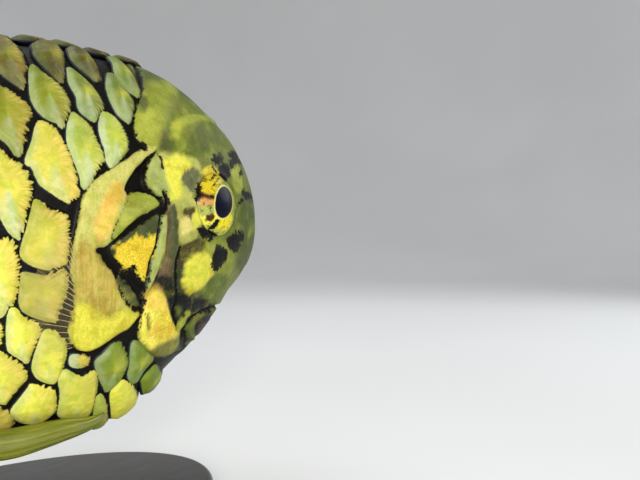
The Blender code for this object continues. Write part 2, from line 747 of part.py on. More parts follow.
def build_tail_fin():
    """Tail fin, a fan of rays with a slightly notched rear edge."""
    shares = np.linspace(0.0, 1.0, TAIL_RAYS // 2 + 1)
    furthest = max(TAIL_NOTCH * shares ** 1.6 - TAIL_ROUND * shares ** 6)
    rays = []
    for share in np.linspace(-1.0, 1.0, TAIL_RAYS):
        root = (BODY_END + GAP, 0.0, TAIL_LEVEL + share * TAIL_ROOT)
        reach = LENGTH - furthest + TAIL_NOTCH * abs(share) ** 1.6 - TAIL_ROUND * abs(share) ** 6
        tip = (reach, 0.0, TAIL_LEVEL + share * TAIL_SPREAD)
        rays.append(ray_points(root, tip, (0.0, 0.0, share * 1.6)))
    fin("caudal_fin", rays, material("caudal_fin", TAN_FIN, 0.5), across_middle)


def pectoral_ray(share):
    """Points of one ray of the right pectoral fin, which follows the flank and lifts off it."""
    place, height = PECTORAL_ROOT[0], PECTORAL_ROOT[1] - PECTORAL_ROOT_LENGTH * share
    rise = PECTORAL_FIRST_RISE - PECTORAL_FAN * share
    length = PECTORAL_SHORTEST + PECTORAL_EXTRA * math.sin(math.pi * (0.12 + 0.76 * share))
    points = []
    for t in np.linspace(0.0, 1.0, STEPS_ALONG_RAY):
        at = (place + length * t * math.cos(rise), height + length * t * math.sin(rise))
        points.append(on_skin(*at, PECTORAL_STANDOFF + PECTORAL_LIFT * t ** 0.8))
    return points


def away_from_right(point):
    """Direction across the right pectoral fin."""
    return np.array((0.1, -1.0, 0.0))


def away_from_left(point):
    """Direction across the left pectoral fin."""
    return np.array((0.1, 1.0, 0.0))


def build_pectoral_fins():
    """Pectoral fins, fanned out over the flanks behind the shoulder."""
    for name, mirrored in (("pectoral_fin_right", False), ("pectoral_fin_left", True)):
        rays = []
        for share in np.linspace(0.0, 1.0, PECTORAL_RAYS):
            ray = pectoral_ray(share)
            rays.append([other_side(point) for point in ray] if mirrored else ray)
        fin(name, rays, material(name, TAN_FIN, 0.5), away_from_left if mirrored else away_from_right, 0.9)


def build_pelvic_spines():
    """The two great pelvic spines, folded back along the belly."""
    for name, side in (("pelvic_spine_right", 1), ("pelvic_spine_left", -1)):
        points = [(u, y * side, z) for u, y, z, _ in PELVIC_SPINE]
        radii = [row[3] for row in PELVIC_SPINE]
        add_object(name, tube(points, radii, PELVIC_SIDES, tips=True), material(name, OLIVE_SPINE, 0.5))


def build_stand():
    """Oval base with an eased edge, and the rod that holds the fish under the belly."""
    bm = bmesh.new()
    bmesh.ops.create_cone(
        bm, cap_ends=True, segments=48, radius1=0.5, radius2=0.5, depth=1.0,
        matrix=Matrix.Diagonal((BASE_LENGTH * MM, BASE_WIDTH * MM, BASE_THICKNESS * MM, 1.0)),
    )
    bmesh.ops.translate(bm, verts=bm.verts, vec=((MIDDLE - BASE_AT) * MM, 0.0, BASE_THICKNESS / 2 * MM))
    top = max(vert.co.z for vert in bm.verts)
    rim = [edge for edge in bm.edges if all(vert.co.z > top - 1e-6 for vert in edge.verts)]
    bmesh.ops.bevel(
        bm, geom=rim, offset=BASE_EDGE * MM, affect="EDGES", segments=2, profile=0.5, material=-1,
        clamp_overlap=True,
    )
    add_object("stand_base", bm, material("stand_base", DARK_BASE, 0.25))
    low = BASE_THICKNESS - LIFT + GAP
    high = float(belly(ROD_AT - ROD_RADIUS)) - SCUTE_RISE - GAP
    sides = [(math.cos(2 * math.pi * k / 16), math.sin(2 * math.pi * k / 16)) for k in range(16)]
    profile = (
        (ROD_FOOT_RADIUS, low), (ROD_FOOT_RADIUS, low + 1.2), (ROD_RADIUS + 0.8, low + ROD_FOOT_HEIGHT),
        (ROD_RADIUS, low + ROD_FOOT_HEIGHT + 1.0), (ROD_RADIUS, high),
    )
    rings = [[(ROD_AT + r * x, r * y, z) for x, y in sides] for r, z in profile]
    add_object("stand_rod", loft(rings), material("stand_rod", STEEL, 0.22, 1.0))


def main():
    """Clears the scene and builds every node."""
    for old in list(bpy.data.objects):
        bpy.data.objects.remove(old)
    build_head()
    build_lower_jaw()
    build_eyes()
    build_gill_covers()
    build_torso()
    build_tail_stalk()
    build_median_fins()
    build_tail_fin()
    build_pectoral_fins()
    build_pelvic_spines()
    build_stand()


main()
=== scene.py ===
"""Finished looks of the pinecone fish, a still, life-size model on a display stand.

Lengths are millimetres in the fish's own terms, as in the solids: u runs back from the snout,
y is negative on the right flank, and z is measured from the level of the eye's lower rim.
Body.world() turns such places into the model's metres. The pattern is the same on both flanks.
"""

from __future__ import annotations

import logging
import math
from collections.abc import Callable, Iterable, Sequence
from dataclasses import dataclass
from enum import Enum
from functools import partial, reduce

import bmesh
import bpy
import numpy as np
from mathutils import Matrix, Vector, noise

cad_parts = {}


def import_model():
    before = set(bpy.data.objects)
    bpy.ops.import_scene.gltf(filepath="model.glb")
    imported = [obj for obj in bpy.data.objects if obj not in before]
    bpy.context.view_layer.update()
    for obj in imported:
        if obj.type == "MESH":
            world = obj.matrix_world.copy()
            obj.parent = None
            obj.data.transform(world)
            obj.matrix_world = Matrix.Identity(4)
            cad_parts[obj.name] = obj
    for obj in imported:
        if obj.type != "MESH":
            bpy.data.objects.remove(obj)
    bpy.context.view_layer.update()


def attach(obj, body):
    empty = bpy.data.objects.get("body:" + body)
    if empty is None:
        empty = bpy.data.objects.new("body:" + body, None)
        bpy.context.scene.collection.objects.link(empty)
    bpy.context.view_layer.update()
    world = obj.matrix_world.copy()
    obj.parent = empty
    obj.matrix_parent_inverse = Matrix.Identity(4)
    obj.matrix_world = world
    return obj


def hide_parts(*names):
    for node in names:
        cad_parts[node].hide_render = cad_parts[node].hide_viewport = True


log = logging.getLogger("pinecone_fish")

Array = np.ndarray
Place = tuple[float, float, float]
Route = tuple[tuple[float, float], ...]
Socket = bpy.types.NodeSocket
Material = bpy.types.Material
Mesh = bpy.types.Mesh
Piece = bpy.types.Object
BMesh = bmesh.types.BMesh
MM = 0.001
BAKE_MAP = "OFBake"


class Side(Enum):
    """The two flanks, with the sign of y on each."""

    RIGHT = -1.0
    LEFT = 1.0


class Tint(Enum):
    """Colours of the fish and its stand, as red, green and blue from 0 to 255."""

    INK = (12, 9, 6)
    INK_BLUE = (14, 18, 24)
    INK_BROWN = (38, 24, 10)
    # Painted blue sheen in the scutes' rear margins
    SHEEN_SLATE_BLUE = (34, 46, 60)
    MOTTLE = (196, 222, 140)
    GRAIN_DARK = (186, 150, 76)
    SPARKLE = (240, 232, 150)
    OLIVE = (114, 124, 50)
    OLIVE_LIGHT = (150, 158, 62)
    OLIVE_DEEP = (96, 110, 44)
    SMOKE = (76, 82, 52)
    # Dark olive: the chin's own colour, and the partly painted shade on the snout's rim and the top of the head
    DUSK = (76, 90, 46)
    LEMON = (230, 224, 82)
    PALE_LIME = (166, 176, 104)
    BEIGE = (180, 180, 100)
    CREAM = (200, 198, 112)
    PEACH = (240, 200, 96)
    TAN = (192, 168, 84)
    GOLD = (244, 220, 70)
    LEAF = (176, 182, 76)
    MOSS = (100, 114, 44)
    # Dark slate: painted shade in the hollow above the mouth
    SHADE_SLATE = (46, 54, 46)
    BARK = (70, 58, 34)
    ROSE_GREY = (112, 92, 72)
    SCUTE = (212, 198, 84)
    SCUTE_SUN = (232, 226, 92)
    SCUTE_TAN = (186, 170, 78)
    SCUTE_LIME = (184, 192, 92)
    # SCUTE_MEADOW, SCUTE_OLIVE, SCUTE_BARK and SCUTE_DUSK darken the plates of the back: partly their own colour,
    # partly painted shade
    SCUTE_MEADOW = (124, 128, 32)
    SCUTE_MOSS = (112, 126, 60)
    SCUTE_OLIVE = (84, 70, 18)
    SCUTE_BARK = (66, 56, 14)
    SCUTE_DUSK = (58, 50, 18)
    # Pale bluish white: painted sheen on the plates' rear edges and their paler lower tips, and the streaks of the
    # rays
    SCUTE_COOL = (190, 202, 170)
    SCUTE_PEACH = (228, 190, 100)
    THROAT = (120, 140, 48)
    IRIS_GOLD = (212, 190, 40)
    IRIS_ROSE = (204, 152, 88)
    IRIS_SUN = (228, 214, 34)
    JAW = (252, 238, 108)
    TEMPLE = (92, 94, 70)
    OVAL = (226, 212, 132)
    IRIS_PEARL = (168, 178, 92)
    IRIS_BROWN = (78, 40, 24)
    PUPIL = (8, 8, 30)
    PUPIL_RING = (226, 220, 120)
    FIN_RAY = (206, 190, 116)
    FIN_WEB = (214, 196, 160)
    HORN = (110, 116, 26)
    HORN_STREAK = (152, 154, 58)
    LIP = (52, 32, 30)
    LACQUER = (26, 25, 25)
    STEEL = (176, 178, 182)

    def linear(self) -> tuple[float, float, float]:
        """The colour as light, for a shader.

        Returns:
            Red, green and blue from 0 to 1.
        """
        shares = [value / 255.0 for value in self.value]
        red, green, blue = (v / 12.92 if v <= 0.04045 else ((v + 0.055) / 1.055) ** 2.4 for v in shares)
        return red, green, blue

    def rgba(self) -> tuple[float, float, float, float]:
        """The colour as light, opaque."""
        return (*self.linear(), 1.0)


def ease(low: float, high: float, value: Array | float) -> Array:
    """A smooth step from 0 at low to 1 at high."""
    share = np.clip((np.asarray(value, float) - low) / (high - low), 0.0, 1.0)
    return share * share * (3.0 - 2.0 * share)


def smooth_curve(places: Array, values: Array) -> Callable[[Array | float], Array]:
    """Makes a curve through given values that doesn't overshoot between them.

    Args:
        places: Where the values are given, rising.
        values: The values there.

    Returns:
        A function from places to values.
    """
    step = np.diff(places)
    slope = np.diff(values) / step
    product, total = slope[:-1] * slope[1:], slope[:-1] + slope[1:]
    inner = np.where(product > 0, 2 * product / np.where(total == 0, 1, total), 0)
    tangent = np.concatenate((slope[:1], inner, slope[-1:]))

    def value(at: Array | float) -> Array:
        """The curve's value at each place.

        Args:
            at: The places.

        Returns:
            The values.
        """
        at = np.clip(np.asarray(at, float), places[0], places[-1])
        i = np.clip(np.searchsorted(places, at) - 1, 0, len(step) - 1)
        t = (at - places[i]) / step[i]
        rising = (3 - 2 * t) * t * t
        bend = t * (1 - t) ** 2 * tangent[i] + t * t * (t - 1) * tangent[i + 1]
        return (1 - rising) * values[i] + rising * values[i + 1] + step[i] * bend

    return value


def closed_curve(outline: Route, steps: int = 6) -> Array:
    """A smooth closed line through the corners of an outline.

    Args:
        outline: The corners.
        steps: Points from one corner to the next.

    Returns:
        Points of the line.
    """
    corners = np.array(outline, float)
    before, after, beyond = np.roll(corners, 1, 0), np.roll(corners, -1, 0), np.roll(corners, -2, 0)
    points = []
    for t in np.arange(steps) / steps:
        points.append(0.5 * (
            2 * corners + (after - before) * t
            + (2 * before - 5 * corners + 4 * after - beyond) * t * t
            + (3 * corners - before - 3 * after + beyond) * t ** 3
        ))
    return np.stack(points, 1).reshape(-1, 2)


def distance_to_path(points: Array, path: Array) -> Array:
    """Distance of each point of the plane to an open path.

    Args:
        points: The points.
        path: Corners of the path.

    Returns:
        A distance for each point.
    """
    nearest = np.full(len(points), 1e9)
    for start, end in zip(path, path[1:]):
        way = end - start
        share = np.clip(((points - start) @ way) / max(float(way @ way), 1e-9), 0.0, 1.0)
        nearest = np.minimum(nearest, np.linalg.norm(points - start - share[:, None] * way, axis=1))
    return nearest


def distance_to_outline(points: Array, outline: Array) -> Array:
    """Distance of each point of the plane to a closed outline, below 0 inside.

    Args:
        points: The points.
        outline: Corners of the outline.

    Returns:
        A distance for each point.
    """
    inside = np.zeros(len(points), bool)
    x, z = points[:, 0], points[:, 1]
    for (x1, z1), (x2, z2) in zip(outline, np.roll(outline, -1, 0)):
        if z1 != z2:
            inside ^= ((z1 > z) != (z2 > z)) & (x < (x2 - x1) * (z - z1) / (z2 - z1) + x1)
    distance = distance_to_path(points, np.concatenate((outline, outline[:1])))
    return np.where(inside, -distance, distance)


def fractal(points: Array, size: float, seed: float, octaves: int = 3) -> Array:
    """Smooth noise of about -1 to 1 at each point, with lumps of a given size."""
    scaled = points / size + seed
    return np.array([noise.fractal(Vector(p), 0.9, 2.1, octaves) for p in scaled])


def toward(colour: Array, tint: Tint, amount: Array | float) -> Array:
    """Moves rows of colour towards a tint by a share of the way."""
    return colour + (np.array(tint.rgba()) - colour) * np.asarray(amount, float)[..., None]


class Body:
    """The smooth form of the fish under its armour, as a surface of place and angle."""

    STATIONS = (
        (0.0, 8.0, 0.0, 4.0), (1.5, 16.0, -5.0, 7.5), (5.0, 25.0, -11.2, 12.0),
        (9.0, 31.5, -15.3, 14.9), (14.0, 36.8, -19.5, 18.0), (20.0, 41.1, -26.6, 20.9),
        (28.0, 46.5, -34.5, 24.1), (37.0, 50.5, -41.6, 26.8), (46.0, 52.4, -48.0, 28.1),
        (56.0, 52.8, -52.5, 28.8), (67.0, 53.1, -54.0, 29.0), (80.0, 51.6, -53.5, 27.0),
        (95.0, 46.9, -46.8, 23.2), (118.0, 35.2, -32.3, 14.8), (142.0, 18.0, -14.6, 7.7),
        (156.0, 11.0, -9.0, 5.0), (161.0, 10.5, -8.5, 4.5),
    )
    SQUARENESS = 2.15
    WIDEST_AT = 0.46
    SNOUT_CAP = 0.8
    END = 161.0
    MIDDLE = 98.0
    LIFT = 83.0

    def __init__(self) -> None:
        """Fits the curves and the table from girth to angle."""
        places, backs, bellies, halves = (np.array(column) for column in zip(*self.STATIONS))
        self.back = smooth_curve(places, backs)
        self.belly = smooth_curve(places, bellies)
        self.half_width = smooth_curve(places, halves)
        angles = np.linspace(math.pi / 2, -math.pi / 2, 361)
        self.shares = np.linspace(0.0, 1.0, 129)
        self.places = np.linspace(0.0, self.END, 323)
        rows, girths = [], []
        for u in self.places:
            points = self.point(np.full(len(angles), u), angles)
            arc = np.concatenate(((0.0,), np.cumsum(np.linalg.norm(np.diff(points, axis=0), axis=1))))
            rows.append(np.interp(self.shares * arc[-1], arc, angles))
            girths.append(arc[-1])
        self.table = np.array(rows)
        self.girths = np.array(girths)

    def widest(self, u: Array | float) -> Array:
        """Height at which the body is widest."""
        return self.belly(u) + (self.back(u) - self.belly(u)) * self.WIDEST_AT

    def point(self, u: Array, angle: Array, out: Array | float = 0.0) -> Array:
        """Places on the right flank.

        Args:
            u: Distance behind the snout.
            angle: Angle round the section, from the belly at minus a quarter turn to the back.
            out: Height over the skin.

        Returns:
            The places as rows of u, y and z.
        """
        u, angle = np.asarray(u, float), np.asarray(angle, float)
        power = 2.0 / self.SQUARENESS
        shrink = np.sqrt(np.clip(1.0 - np.clip(-u / self.SNOUT_CAP, 0.0, 1.0) ** 2, 0.0, 1.0))
        across = np.abs(np.cos(angle)) ** power * shrink
        up = np.sign(np.sin(angle)) * np.abs(np.sin(angle)) ** power * shrink
        middle = self.widest(u)
        reach = np.where(up > 0, self.back(u) - middle, middle - self.belly(u))
        points = np.stack((u + 0 * across, -self.half_width(u) * across, middle + reach * up), -1)
        if isinstance(out, float) and out == 0.0:
            return points
        return points + self.normal(u, angle) * np.asarray(out, float)[..., None]

    def normal(self, u: Array, angle: Array) -> Array:
        """Outward normals on the right flank.

        Args:
            u: Distance behind the snout.
            angle: Angle round the section.

        Returns:
            Unit normals as rows of u, y and z.
        """
        small = 0.02
        angle = np.clip(angle, -math.pi / 2 + small, math.pi / 2 - small)
        u = np.clip(u, 0.2, self.END - 0.2)
        along = self.point(u + 0.2, angle) - self.point(u - 0.2, angle)
        around = self.point(u, angle + small) - self.point(u, angle - small)
        normal = np.cross(along, around)
        normal /= np.linalg.norm(normal, axis=-1, keepdims=True)
        return normal * np.where(normal[..., 1:2] < 0, 1.0, -1.0)

    def angle_by_share(self, u: Array, share: Array) -> Array:
        """Angle at a share of the way round the flank, from the back (0) to the belly (1).

        Args:
            u: Distance behind the snout.
            share: Share of the way round.

        Returns:
            The angles.
        """
        row = np.clip(np.asarray(u, float) / self.END, 0, 1) * (len(self.places) - 1)
        column = np.clip(np.asarray(share, float), 0, 1) * (len(self.shares) - 1)
        i = np.minimum(row.astype(int), len(self.places) - 2)
        j = np.minimum(column.astype(int), len(self.shares) - 2)
        a, b = row - i, column - j
        upper = self.table[i, j] * (1 - b) + self.table[i, j + 1] * b
        lower = self.table[i + 1, j] * (1 - b) + self.table[i + 1, j + 1] * b
        return upper * (1 - a) + lower * a

    def angle_by_height(self, u: Array, z: Array) -> Array:
        """Angle on the flank at which the skin has this height.

        Args:
            u: Distance behind the snout.
            z: The height.

        Returns:
            The angles.
        """
        middle = self.widest(u)
        reach = np.where(z > middle, self.back(u) - middle, middle - self.belly(u))
        share = np.clip((z - middle) / reach, -1.0, 1.0)
        return np.sign(share) * np.arcsin(np.abs(share) ** (self.SQUARENESS / 2))

    def girth(self, u: float) -> float:
        """Length round one flank, from the back to the belly."""
        return float(np.interp(u, self.places, self.girths))

    def on_flank(self, u: float, z: float, out: float = 0.0) -> Array:
        """One place on the right flank, given as seen from the side."""
        angle = self.angle_by_height(np.array([u]), np.array([z]))
        return self.point(np.array([u]), angle, np.array([out]))[0]

    def world(self, points: Array, side: Side = Side.RIGHT) -> Array:
        """Places of the right flank, or their mirror images, in the model's metres.

        Args:
            points: Places of the right flank, as rows of u, y and z.
            side: Flank that they go to.

        Returns:
            Rows of x, y and z.
        """
        points = np.asarray(points, float)
        flip = -side.value
        return np.stack(
            (self.MIDDLE - points[..., 0], points[..., 1] * flip, points[..., 2] + self.LIFT), -1
        ) * MM


BODY = Body()


@dataclass(frozen=True)
class Area:
    """A patch of the head or shoulder, seen from the side.

    Attributes:
        outline: Its corners as place behind the snout and height.
        tint: Its colour.
        soft: Width over which the colour fades into what is round it.
        level: Height of its surface over the skin, or None to follow what lies under it.
        shoulder: Width over which its surface rises to that level.
        strength: Share of its own colour in the middle.
        wander: How far noise pushes its border about.
        grain: How granular its surface is.
        streak: How finely it is lined from top to bottom.
    """

    outline: Route
    tint: Tint
    soft: float = 0.7
    level: float | None = None
    shoulder: float = 0.9
    strength: float = 1.0
    wander: float = 0.5
    grain: float = 0.0
    streak: float = 0.0


@dataclass(frozen=True)
class Stroke:
    """A dark line or groove.

    Attributes:
        path: Places along its middle, as place behind the snout and height.
        half: Half its width.
        level: Height of its floor over the skin, or None to leave the surface as it is.
        inked: Whether it is black.
        broken: Whether it is broken up into specks.
    """

    path: Route
    half: float
    level: float | None = -0.3
    inked: bool = True
    broken: bool = False


# The head as its bones, membranes and dark blotches lie on the flank, from the lowest layer up
AREAS: dict[str, Area] = {
    "head_ground": Area(((-6, 60), (40, 58), (47.7, 43.9), (48.9, 40.9), (52.2, 36.4), (54, 31.9), (54, 27.9),
        (51.7, 25), (47.9, 25), (46.5, 14), (47.1, 0), (49, -12), (52.9, -19), (53, -26.1), (48.3, -31.3),
        (41, -32.6), (36, -32.6), (20, -36.6), (-6, -40)), Tint.OLIVE, soft=0.4, level=0.6),
    "brow_shade": Area(((27.5, 22.1), (22, 24.7), (14.8, 22.7), (13.9, 17.2), (15.9, 13.1), (19, 15.1), (20.5, 19.2),
        (24.3, 20.1)), Tint.MOSS, soft=3),
    "snout_low": Area(((32.5, -0.8), (28.6, 0), (23.9, -0.5), (19.2, -3.5), (17.8, -8.6), (22.2, -10.9),
        (27.6, -10.6), (29.5, -6.3), (32.1, -4)), Tint.OLIVE_LIGHT, soft=2.4, level=0.9, shoulder=2.4, strength=0.6),
    # Dimmer rim of the snout: partly its translucent skin, partly painted shade where it turns away from the light
    "snout_rim_shade": Area(((14.4, 13.7), (8.9, 15.1), (3, 14), (0, 4), (5.5, -7.8), (8.1, -11.8), (11.9, -9.2),
        (15.6, -6.8), (14.6, -1.4), (15.3, 6.3)), Tint.DUSK, soft=3, strength=0.8),
    "skull_rear": Area(((45.7, 43.9), (40.8, 47.3), (37, 47), (36.1, 41.9), (39.8, 37.1), (43.3, 31.9), (45.2, 27.3),
        (47.3, 24.4), (49.7, 23.6), (51.1, 24.4), (53, 26.4), (53.7, 29.6), (52.7, 33.5), (50.6, 37.2)),
        Tint.OLIVE_LIGHT, soft=2.4, level=1.3, shoulder=4, strength=0.8),
    "rear_lobe": Area(((51.1, 32.9), (47.6, 35.1), (44.8, 33.6), (45.9, 28.6), (48.9, 25.2), (51.4, 25.9),
        (53, 28.6)), Tint.LEAF, soft=2.8, strength=0.8),
    "skull_front": Area(((39.8, 33.5), (35, 36), (27.9, 37.9), (19.8, 38.2), (19.5, 34.7), (24, 29.5), (29.6, 25.7),
        (35.1, 23.6), (39.5, 23.7), (41.8, 26), (41.9, 29.4)), Tint.OLIVE_DEEP, soft=2.2, level=1.6, shoulder=5,
        strength=0.8),
    "dome_light": Area(((39.5, 32.5), (36.5, 34.8), (31, 36.3), (27, 36), (33, 33), (37, 29), (39.5, 25), (41.2, 27),
        (41, 30.5)), Tint.OLIVE_LIGHT, soft=2, strength=0.55),
    "dome_rim": Area(((42.3, 30.1), (39.8, 33.3), (35.5, 35.6), (28.5, 37.2), (20.6, 38.2), (15.6, 36.8),
        (24.6, 35.6), (29.6, 35.2), (35.3, 33.4), (38.9, 31), (41, 28.2)), Tint.LEAF, soft=1.4, strength=0.7),
    # Darker top of the head: partly its own darker skin, partly painted shade
    "head_top_shade": Area(((50, 42), (46, 44.5), (40, 45), (30, 42), (20, 37), (10, 29.5), (4, 20), (0, 24), (6, 34),
        (18, 44), (34, 54), (48, 56)), Tint.DUSK, soft=3.6, strength=0.72),
    "smudge_upper": Area(((49.9, 38.9), (48, 39.3), (48.2, 36.8), (49.4, 33.9), (50.7, 34.5), (50.8, 36.6)),
        Tint.SMOKE, soft=1.4, strength=0.75),
    "smudge_lower": Area(((45.3, 28.8), (43, 30.4), (42.2, 27.8), (43, 23.1), (45.4, 21.7), (46.6, 24.2)), Tint.SMOKE,
        soft=2.2, strength=0.75),
    "crown_gold": Area(((38, 46.1), (34.6, 47.8), (31.2, 45.9), (35.2, 43.6), (38.7, 43)), Tint.LEAF, soft=2.2,
        strength=0.6),
    "cheek_ground": Area(((50.4, 20.5), (46, 23.6), (38, 23.2), (32.8, 21), (33.4, 10), (35.5, 1), (39, -1),
        (43.6, 1.5), (44.3, 8.4), (44.7, 10.5), (46.6, 11), (49.6, 12.6), (51.4, 15)), Tint.BEIGE, soft=1.6,
        level=0.7, shoulder=2),
    "cheek_lobe": Area(((49.2, 21.5), (47.1, 21), (45.3, 19.4), (44.5, 16.4), (45.4, 12.9), (47.3, 10.9),
        (49.6, 12.6), (51.2, 14.4), (51.6, 17.1), (50.8, 19.8)), Tint.PALE_LIME, soft=0.8, level=0.8),
    "cheek_gold": Area(((46, 21.6), (42, 23.2), (37.9, 22.7), (37.2, 20.2), (39.5, 18.3), (40.8, 15.4), (41.5, 11.5),
        (44.1, 11.8), (45.2, 15.1), (45.8, 18.4)), Tint.LEMON, soft=1.8, level=0.8, shoulder=2, strength=0.95,
        wander=0.9),
    "brow_gold": Area(((32.9, 19), (30.2, 21), (28.5, 21.9), (26.4, 21.2), (25.6, 19), (26.5, 16.2), (28.5, 14.5),
        (30.1, 13.5), (32.9, 13.7), (33.4, 15.6)), Tint.GOLD, soft=1.2, strength=0.85, wander=0.9, grain=0.4),
    "brow_green": Area(((17.4, 23.2), (14.3, 23.6), (12.6, 20.9), (13.2, 17), (15.5, 14.9), (17.5, 16), (18.4, 18.4),
        (18.7, 20.9)), Tint.LEAF, soft=1.6, strength=0.75),
    "temple_dark": Area(((40.2, 17.4), (39, 19.2), (36.8, 20.2), (33.9, 19.9), (32.3, 18.2), (32.4, 15.6),
        (33.6, 13.2), (35.6, 12.2), (37.2, 13.6), (40.4, 15.6)), Tint.TEMPLE, soft=0.9, level=0.4, shoulder=1.4,
        strength=0.92, wander=1.3),
    "cheek_oval": Area(((41.8, 4.3), (40.6, 5.9), (38.6, 5.7), (37.4, 4.4), (38, 2.6), (40.4, 1.2), (41.9, 2.3)),
        Tint.OVAL, soft=1.2, level=1.1, shoulder=1.6, strength=0.95),
    "cheek_lemon": Area(((36.7, 8.6), (34.9, 8.7), (33.6, 7.8), (33.4, 6.4), (34.6, 4.4), (37.1, 2.9), (38, 4.6)),
        Tint.LEMON, soft=0.9, strength=0.8, wander=0.9),
    "cheek_spot": Area(((41.1, 7.7), (40.2, 8.7), (37.9, 8.5), (36.5, 9.1), (36.7, 7.9), (37.7, 6.9), (37.6, 5.8),
        (38.3, 5.5), (38.8, 6.7), (40.6, 6.8)), Tint.BARK, soft=0.6, strength=0.95),
    # Painted shade in the hollow above the mouth
    "mouth_corner_shade": Area(((41.4, -5), (38.9, -7), (38.5, -12.6), (34.1, -14.8), (29.1, -16.5), (24.6, -18.7),
        (25.4, -22.1), (35.6, -19.7), (40.8, -17), (43, -11.5)), Tint.SHADE_SLATE, soft=1.3, level=-0.2, shoulder=1.2,
        strength=0.9),
    "cheek_band": Area(((34.6, 0.6), (32.1, -0.5), (33.3, -2.9), (37.6, -4.3), (40.4, -6.1), (42.4, -8.2),
        (43.1, -4.9), (41.5, -2.2), (38.3, -0.7)), Tint.BARK, soft=0.8, level=-0.1, shoulder=0.8, strength=0.9),
    "jaw_upper": Area(((39.6, -6.3), (36.8, -4.4), (32.9, -3.7), (29.8, -5.5), (28.1, -8.3), (28.9, -11.1),
        (36.1, -14.9), (38.7, -13.3), (40.2, -9.5)), Tint.LEMON, soft=1.6, level=1.1, shoulder=2.2, strength=0.9,
        wander=0.9),
    "snout_green": Area(((30.2, -11.5), (25.7, -10.2), (20.8, -11.6), (20, -15.4), (24.6, -19), (29.7, -17.6),
        (31.5, -14.5)), Tint.MOSS, soft=1.8, level=0.6, shoulder=1.6),
    "pink_band": Area(((45.3, 9.7), (44.1, 7.5), (44.1, -2.7), (43.2, -12), (46.5, -12.5), (48.4, -9.7), (46.6, -3.9),
        (45.8, 2.7)), Tint.ROSE_GREY, soft=0.8, level=-0.2),
    "grey_strip": Area(((44.3, 8.5), (42.9, 7.7), (42.5, 1.4), (42.9, -5.9), (42.5, -16.4), (43.8, -16.4),
        (44.5, -4)), Tint.SMOKE, soft=0.6),
    "gill_shadow": Area(((51.5, -12.6), (47, -9.5), (43.6, -11), (42.4, -17.5), (46.2, -15.4), (48.5, -13.8),
        (50.4, -14.4)), Tint.INK_BLUE, soft=0.9, level=-0.5, shoulder=1, strength=0.9),
    "preopercle": Area(((47.3, 7.3), (46, 6.4), (46.1, 2.6), (46.8, -1.5), (47.9, -6.3), (49.4, -10), (51.1, -13.1),
        (51.9, -13), (51.5, -9.4), (50.4, -5), (48.8, -0.2)), Tint.PALE_LIME, soft=0.3, level=0.9, shoulder=0.6),
    "gill_gap": Area(((57.9, 13.2), (55, 17.7), (51.5, 21.2), (49.3, 22.2), (51.5, 17.8), (51.5, 14.7), (49.3, 12.4),
        (46.8, 11), (47.9, 9.8), (50.8, 11.7), (54.3, 12.5), (57.1, 11.4)), Tint.INK, soft=0.3, level=-1.2,
        shoulder=0.7, wander=0.15),
    "shoulder": Area(((47.8, 24.6), (50.8, 21.7), (54.7, 18), (57.6, 13.5), (57.2, 10.9), (61, 3.3), (62.6, -1.1),
        (65.4, -2.4), (64.2, -5.8), (61.6, -8), (59.6, -12.7), (56.6, -17.8), (59.9, -18.5), (65.2, -18.5),
        (70.5, -18), (71.1, -12.4), (72.1, -6.8), (71.4, -1.4), (70.2, 4.3), (69.4, 8.4), (68, 12.1), (65.1, 15.3),
        (61.5, 17.9), (57.2, 20.6), (52.3, 23.9)), Tint.CREAM, soft=0.5, level=1, shoulder=1.2, wander=0.3,
        streak=0.35),
    "shoulder_glow": Area(((59.6, 14.1), (58.9, 12.4), (60.4, 8.8), (63, 1), (66.1, 1.2), (65.2, 6.1), (63.8, 9.9),
        (61.8, 12.7)), Tint.PEACH, soft=2.8, strength=0.85, wander=0.8),
    "shoulder_tan": Area(((71, -2), (66, -2.5), (62, -8), (59, -14), (60.5, -19.5), (66, -19.5), (70.5, -16),
        (71, -10)), Tint.TAN, soft=4.2, strength=0.85, wander=0.8, streak=0.8),
    "membrane": Area(((60.2, -8.9), (53.7, -13), (52.8, -16.7), (55.5, -17), (57.6, -15.2), (59.3, -12.3)),
        Tint.SMOKE, soft=0.6, level=0.1, shoulder=0.6),
    "gill_flap": Area(((62.1, -1.9), (55.8, 2.6), (51.7, 5.3), (48.7, 6.8), (47.9, 5.3), (48.5, 1.6), (49.5, -2.1),
        (50.9, -5.6), (52.3, -12.8), (56.9, -9.6), (59.7, -5.9)), Tint.SMOKE, soft=0.3, level=1.1, shoulder=0.6),
    "gill_flap_gold": Area(((61.6, -2.2), (58.6, -0.6), (54.7, 0.9), (50.1, 0.8), (49.8, -2.2), (51.3, -5.7),
        (52.1, -9.5), (52.8, -11.2), (54.6, -10.7), (57.2, -8.9), (59.7, -5.6)), Tint.GOLD, soft=0.6, wander=1.1,
        grain=1),
    "gill_tongue": Area(((57.2, 11.2), (54.6, 12.5), (51.4, 12.2), (49.1, 11.1), (48, 9.2), (49.3, 8), (52.3, 6.9),
        (54.9, 5.4), (60.3, 0.5), (62.1, -1.9), (61.8, 1), (60.2, 4.7)), Tint.OLIVE_LIGHT, soft=0.4, level=1.4,
        shoulder=0.8),
    "tongue_gold": Area(((57.5, 8.6), (54, 9.3), (51.3, 8.6), (57.5, 5.6), (59.8, 3.4), (59.2, 6.4)), Tint.BEIGE,
        soft=1.8, strength=0.55, wander=0.9),
    "fin_shade": Area(((56.6, -16.8), (62.4, -18), (65.6, -17), (68.4, -15), (68.4, -16.6), (65.6, -18.9),
        (62.4, -20), (56.6, -18.6)), Tint.BARK, soft=1.2, strength=0.3, wander=0.9),
    "fin_base": Area(((70.8, -16.2), (71.8, -19.3), (71.8, -22.3), (70.9, -25.6), (68.6, -27.6), (65.1, -27.5),
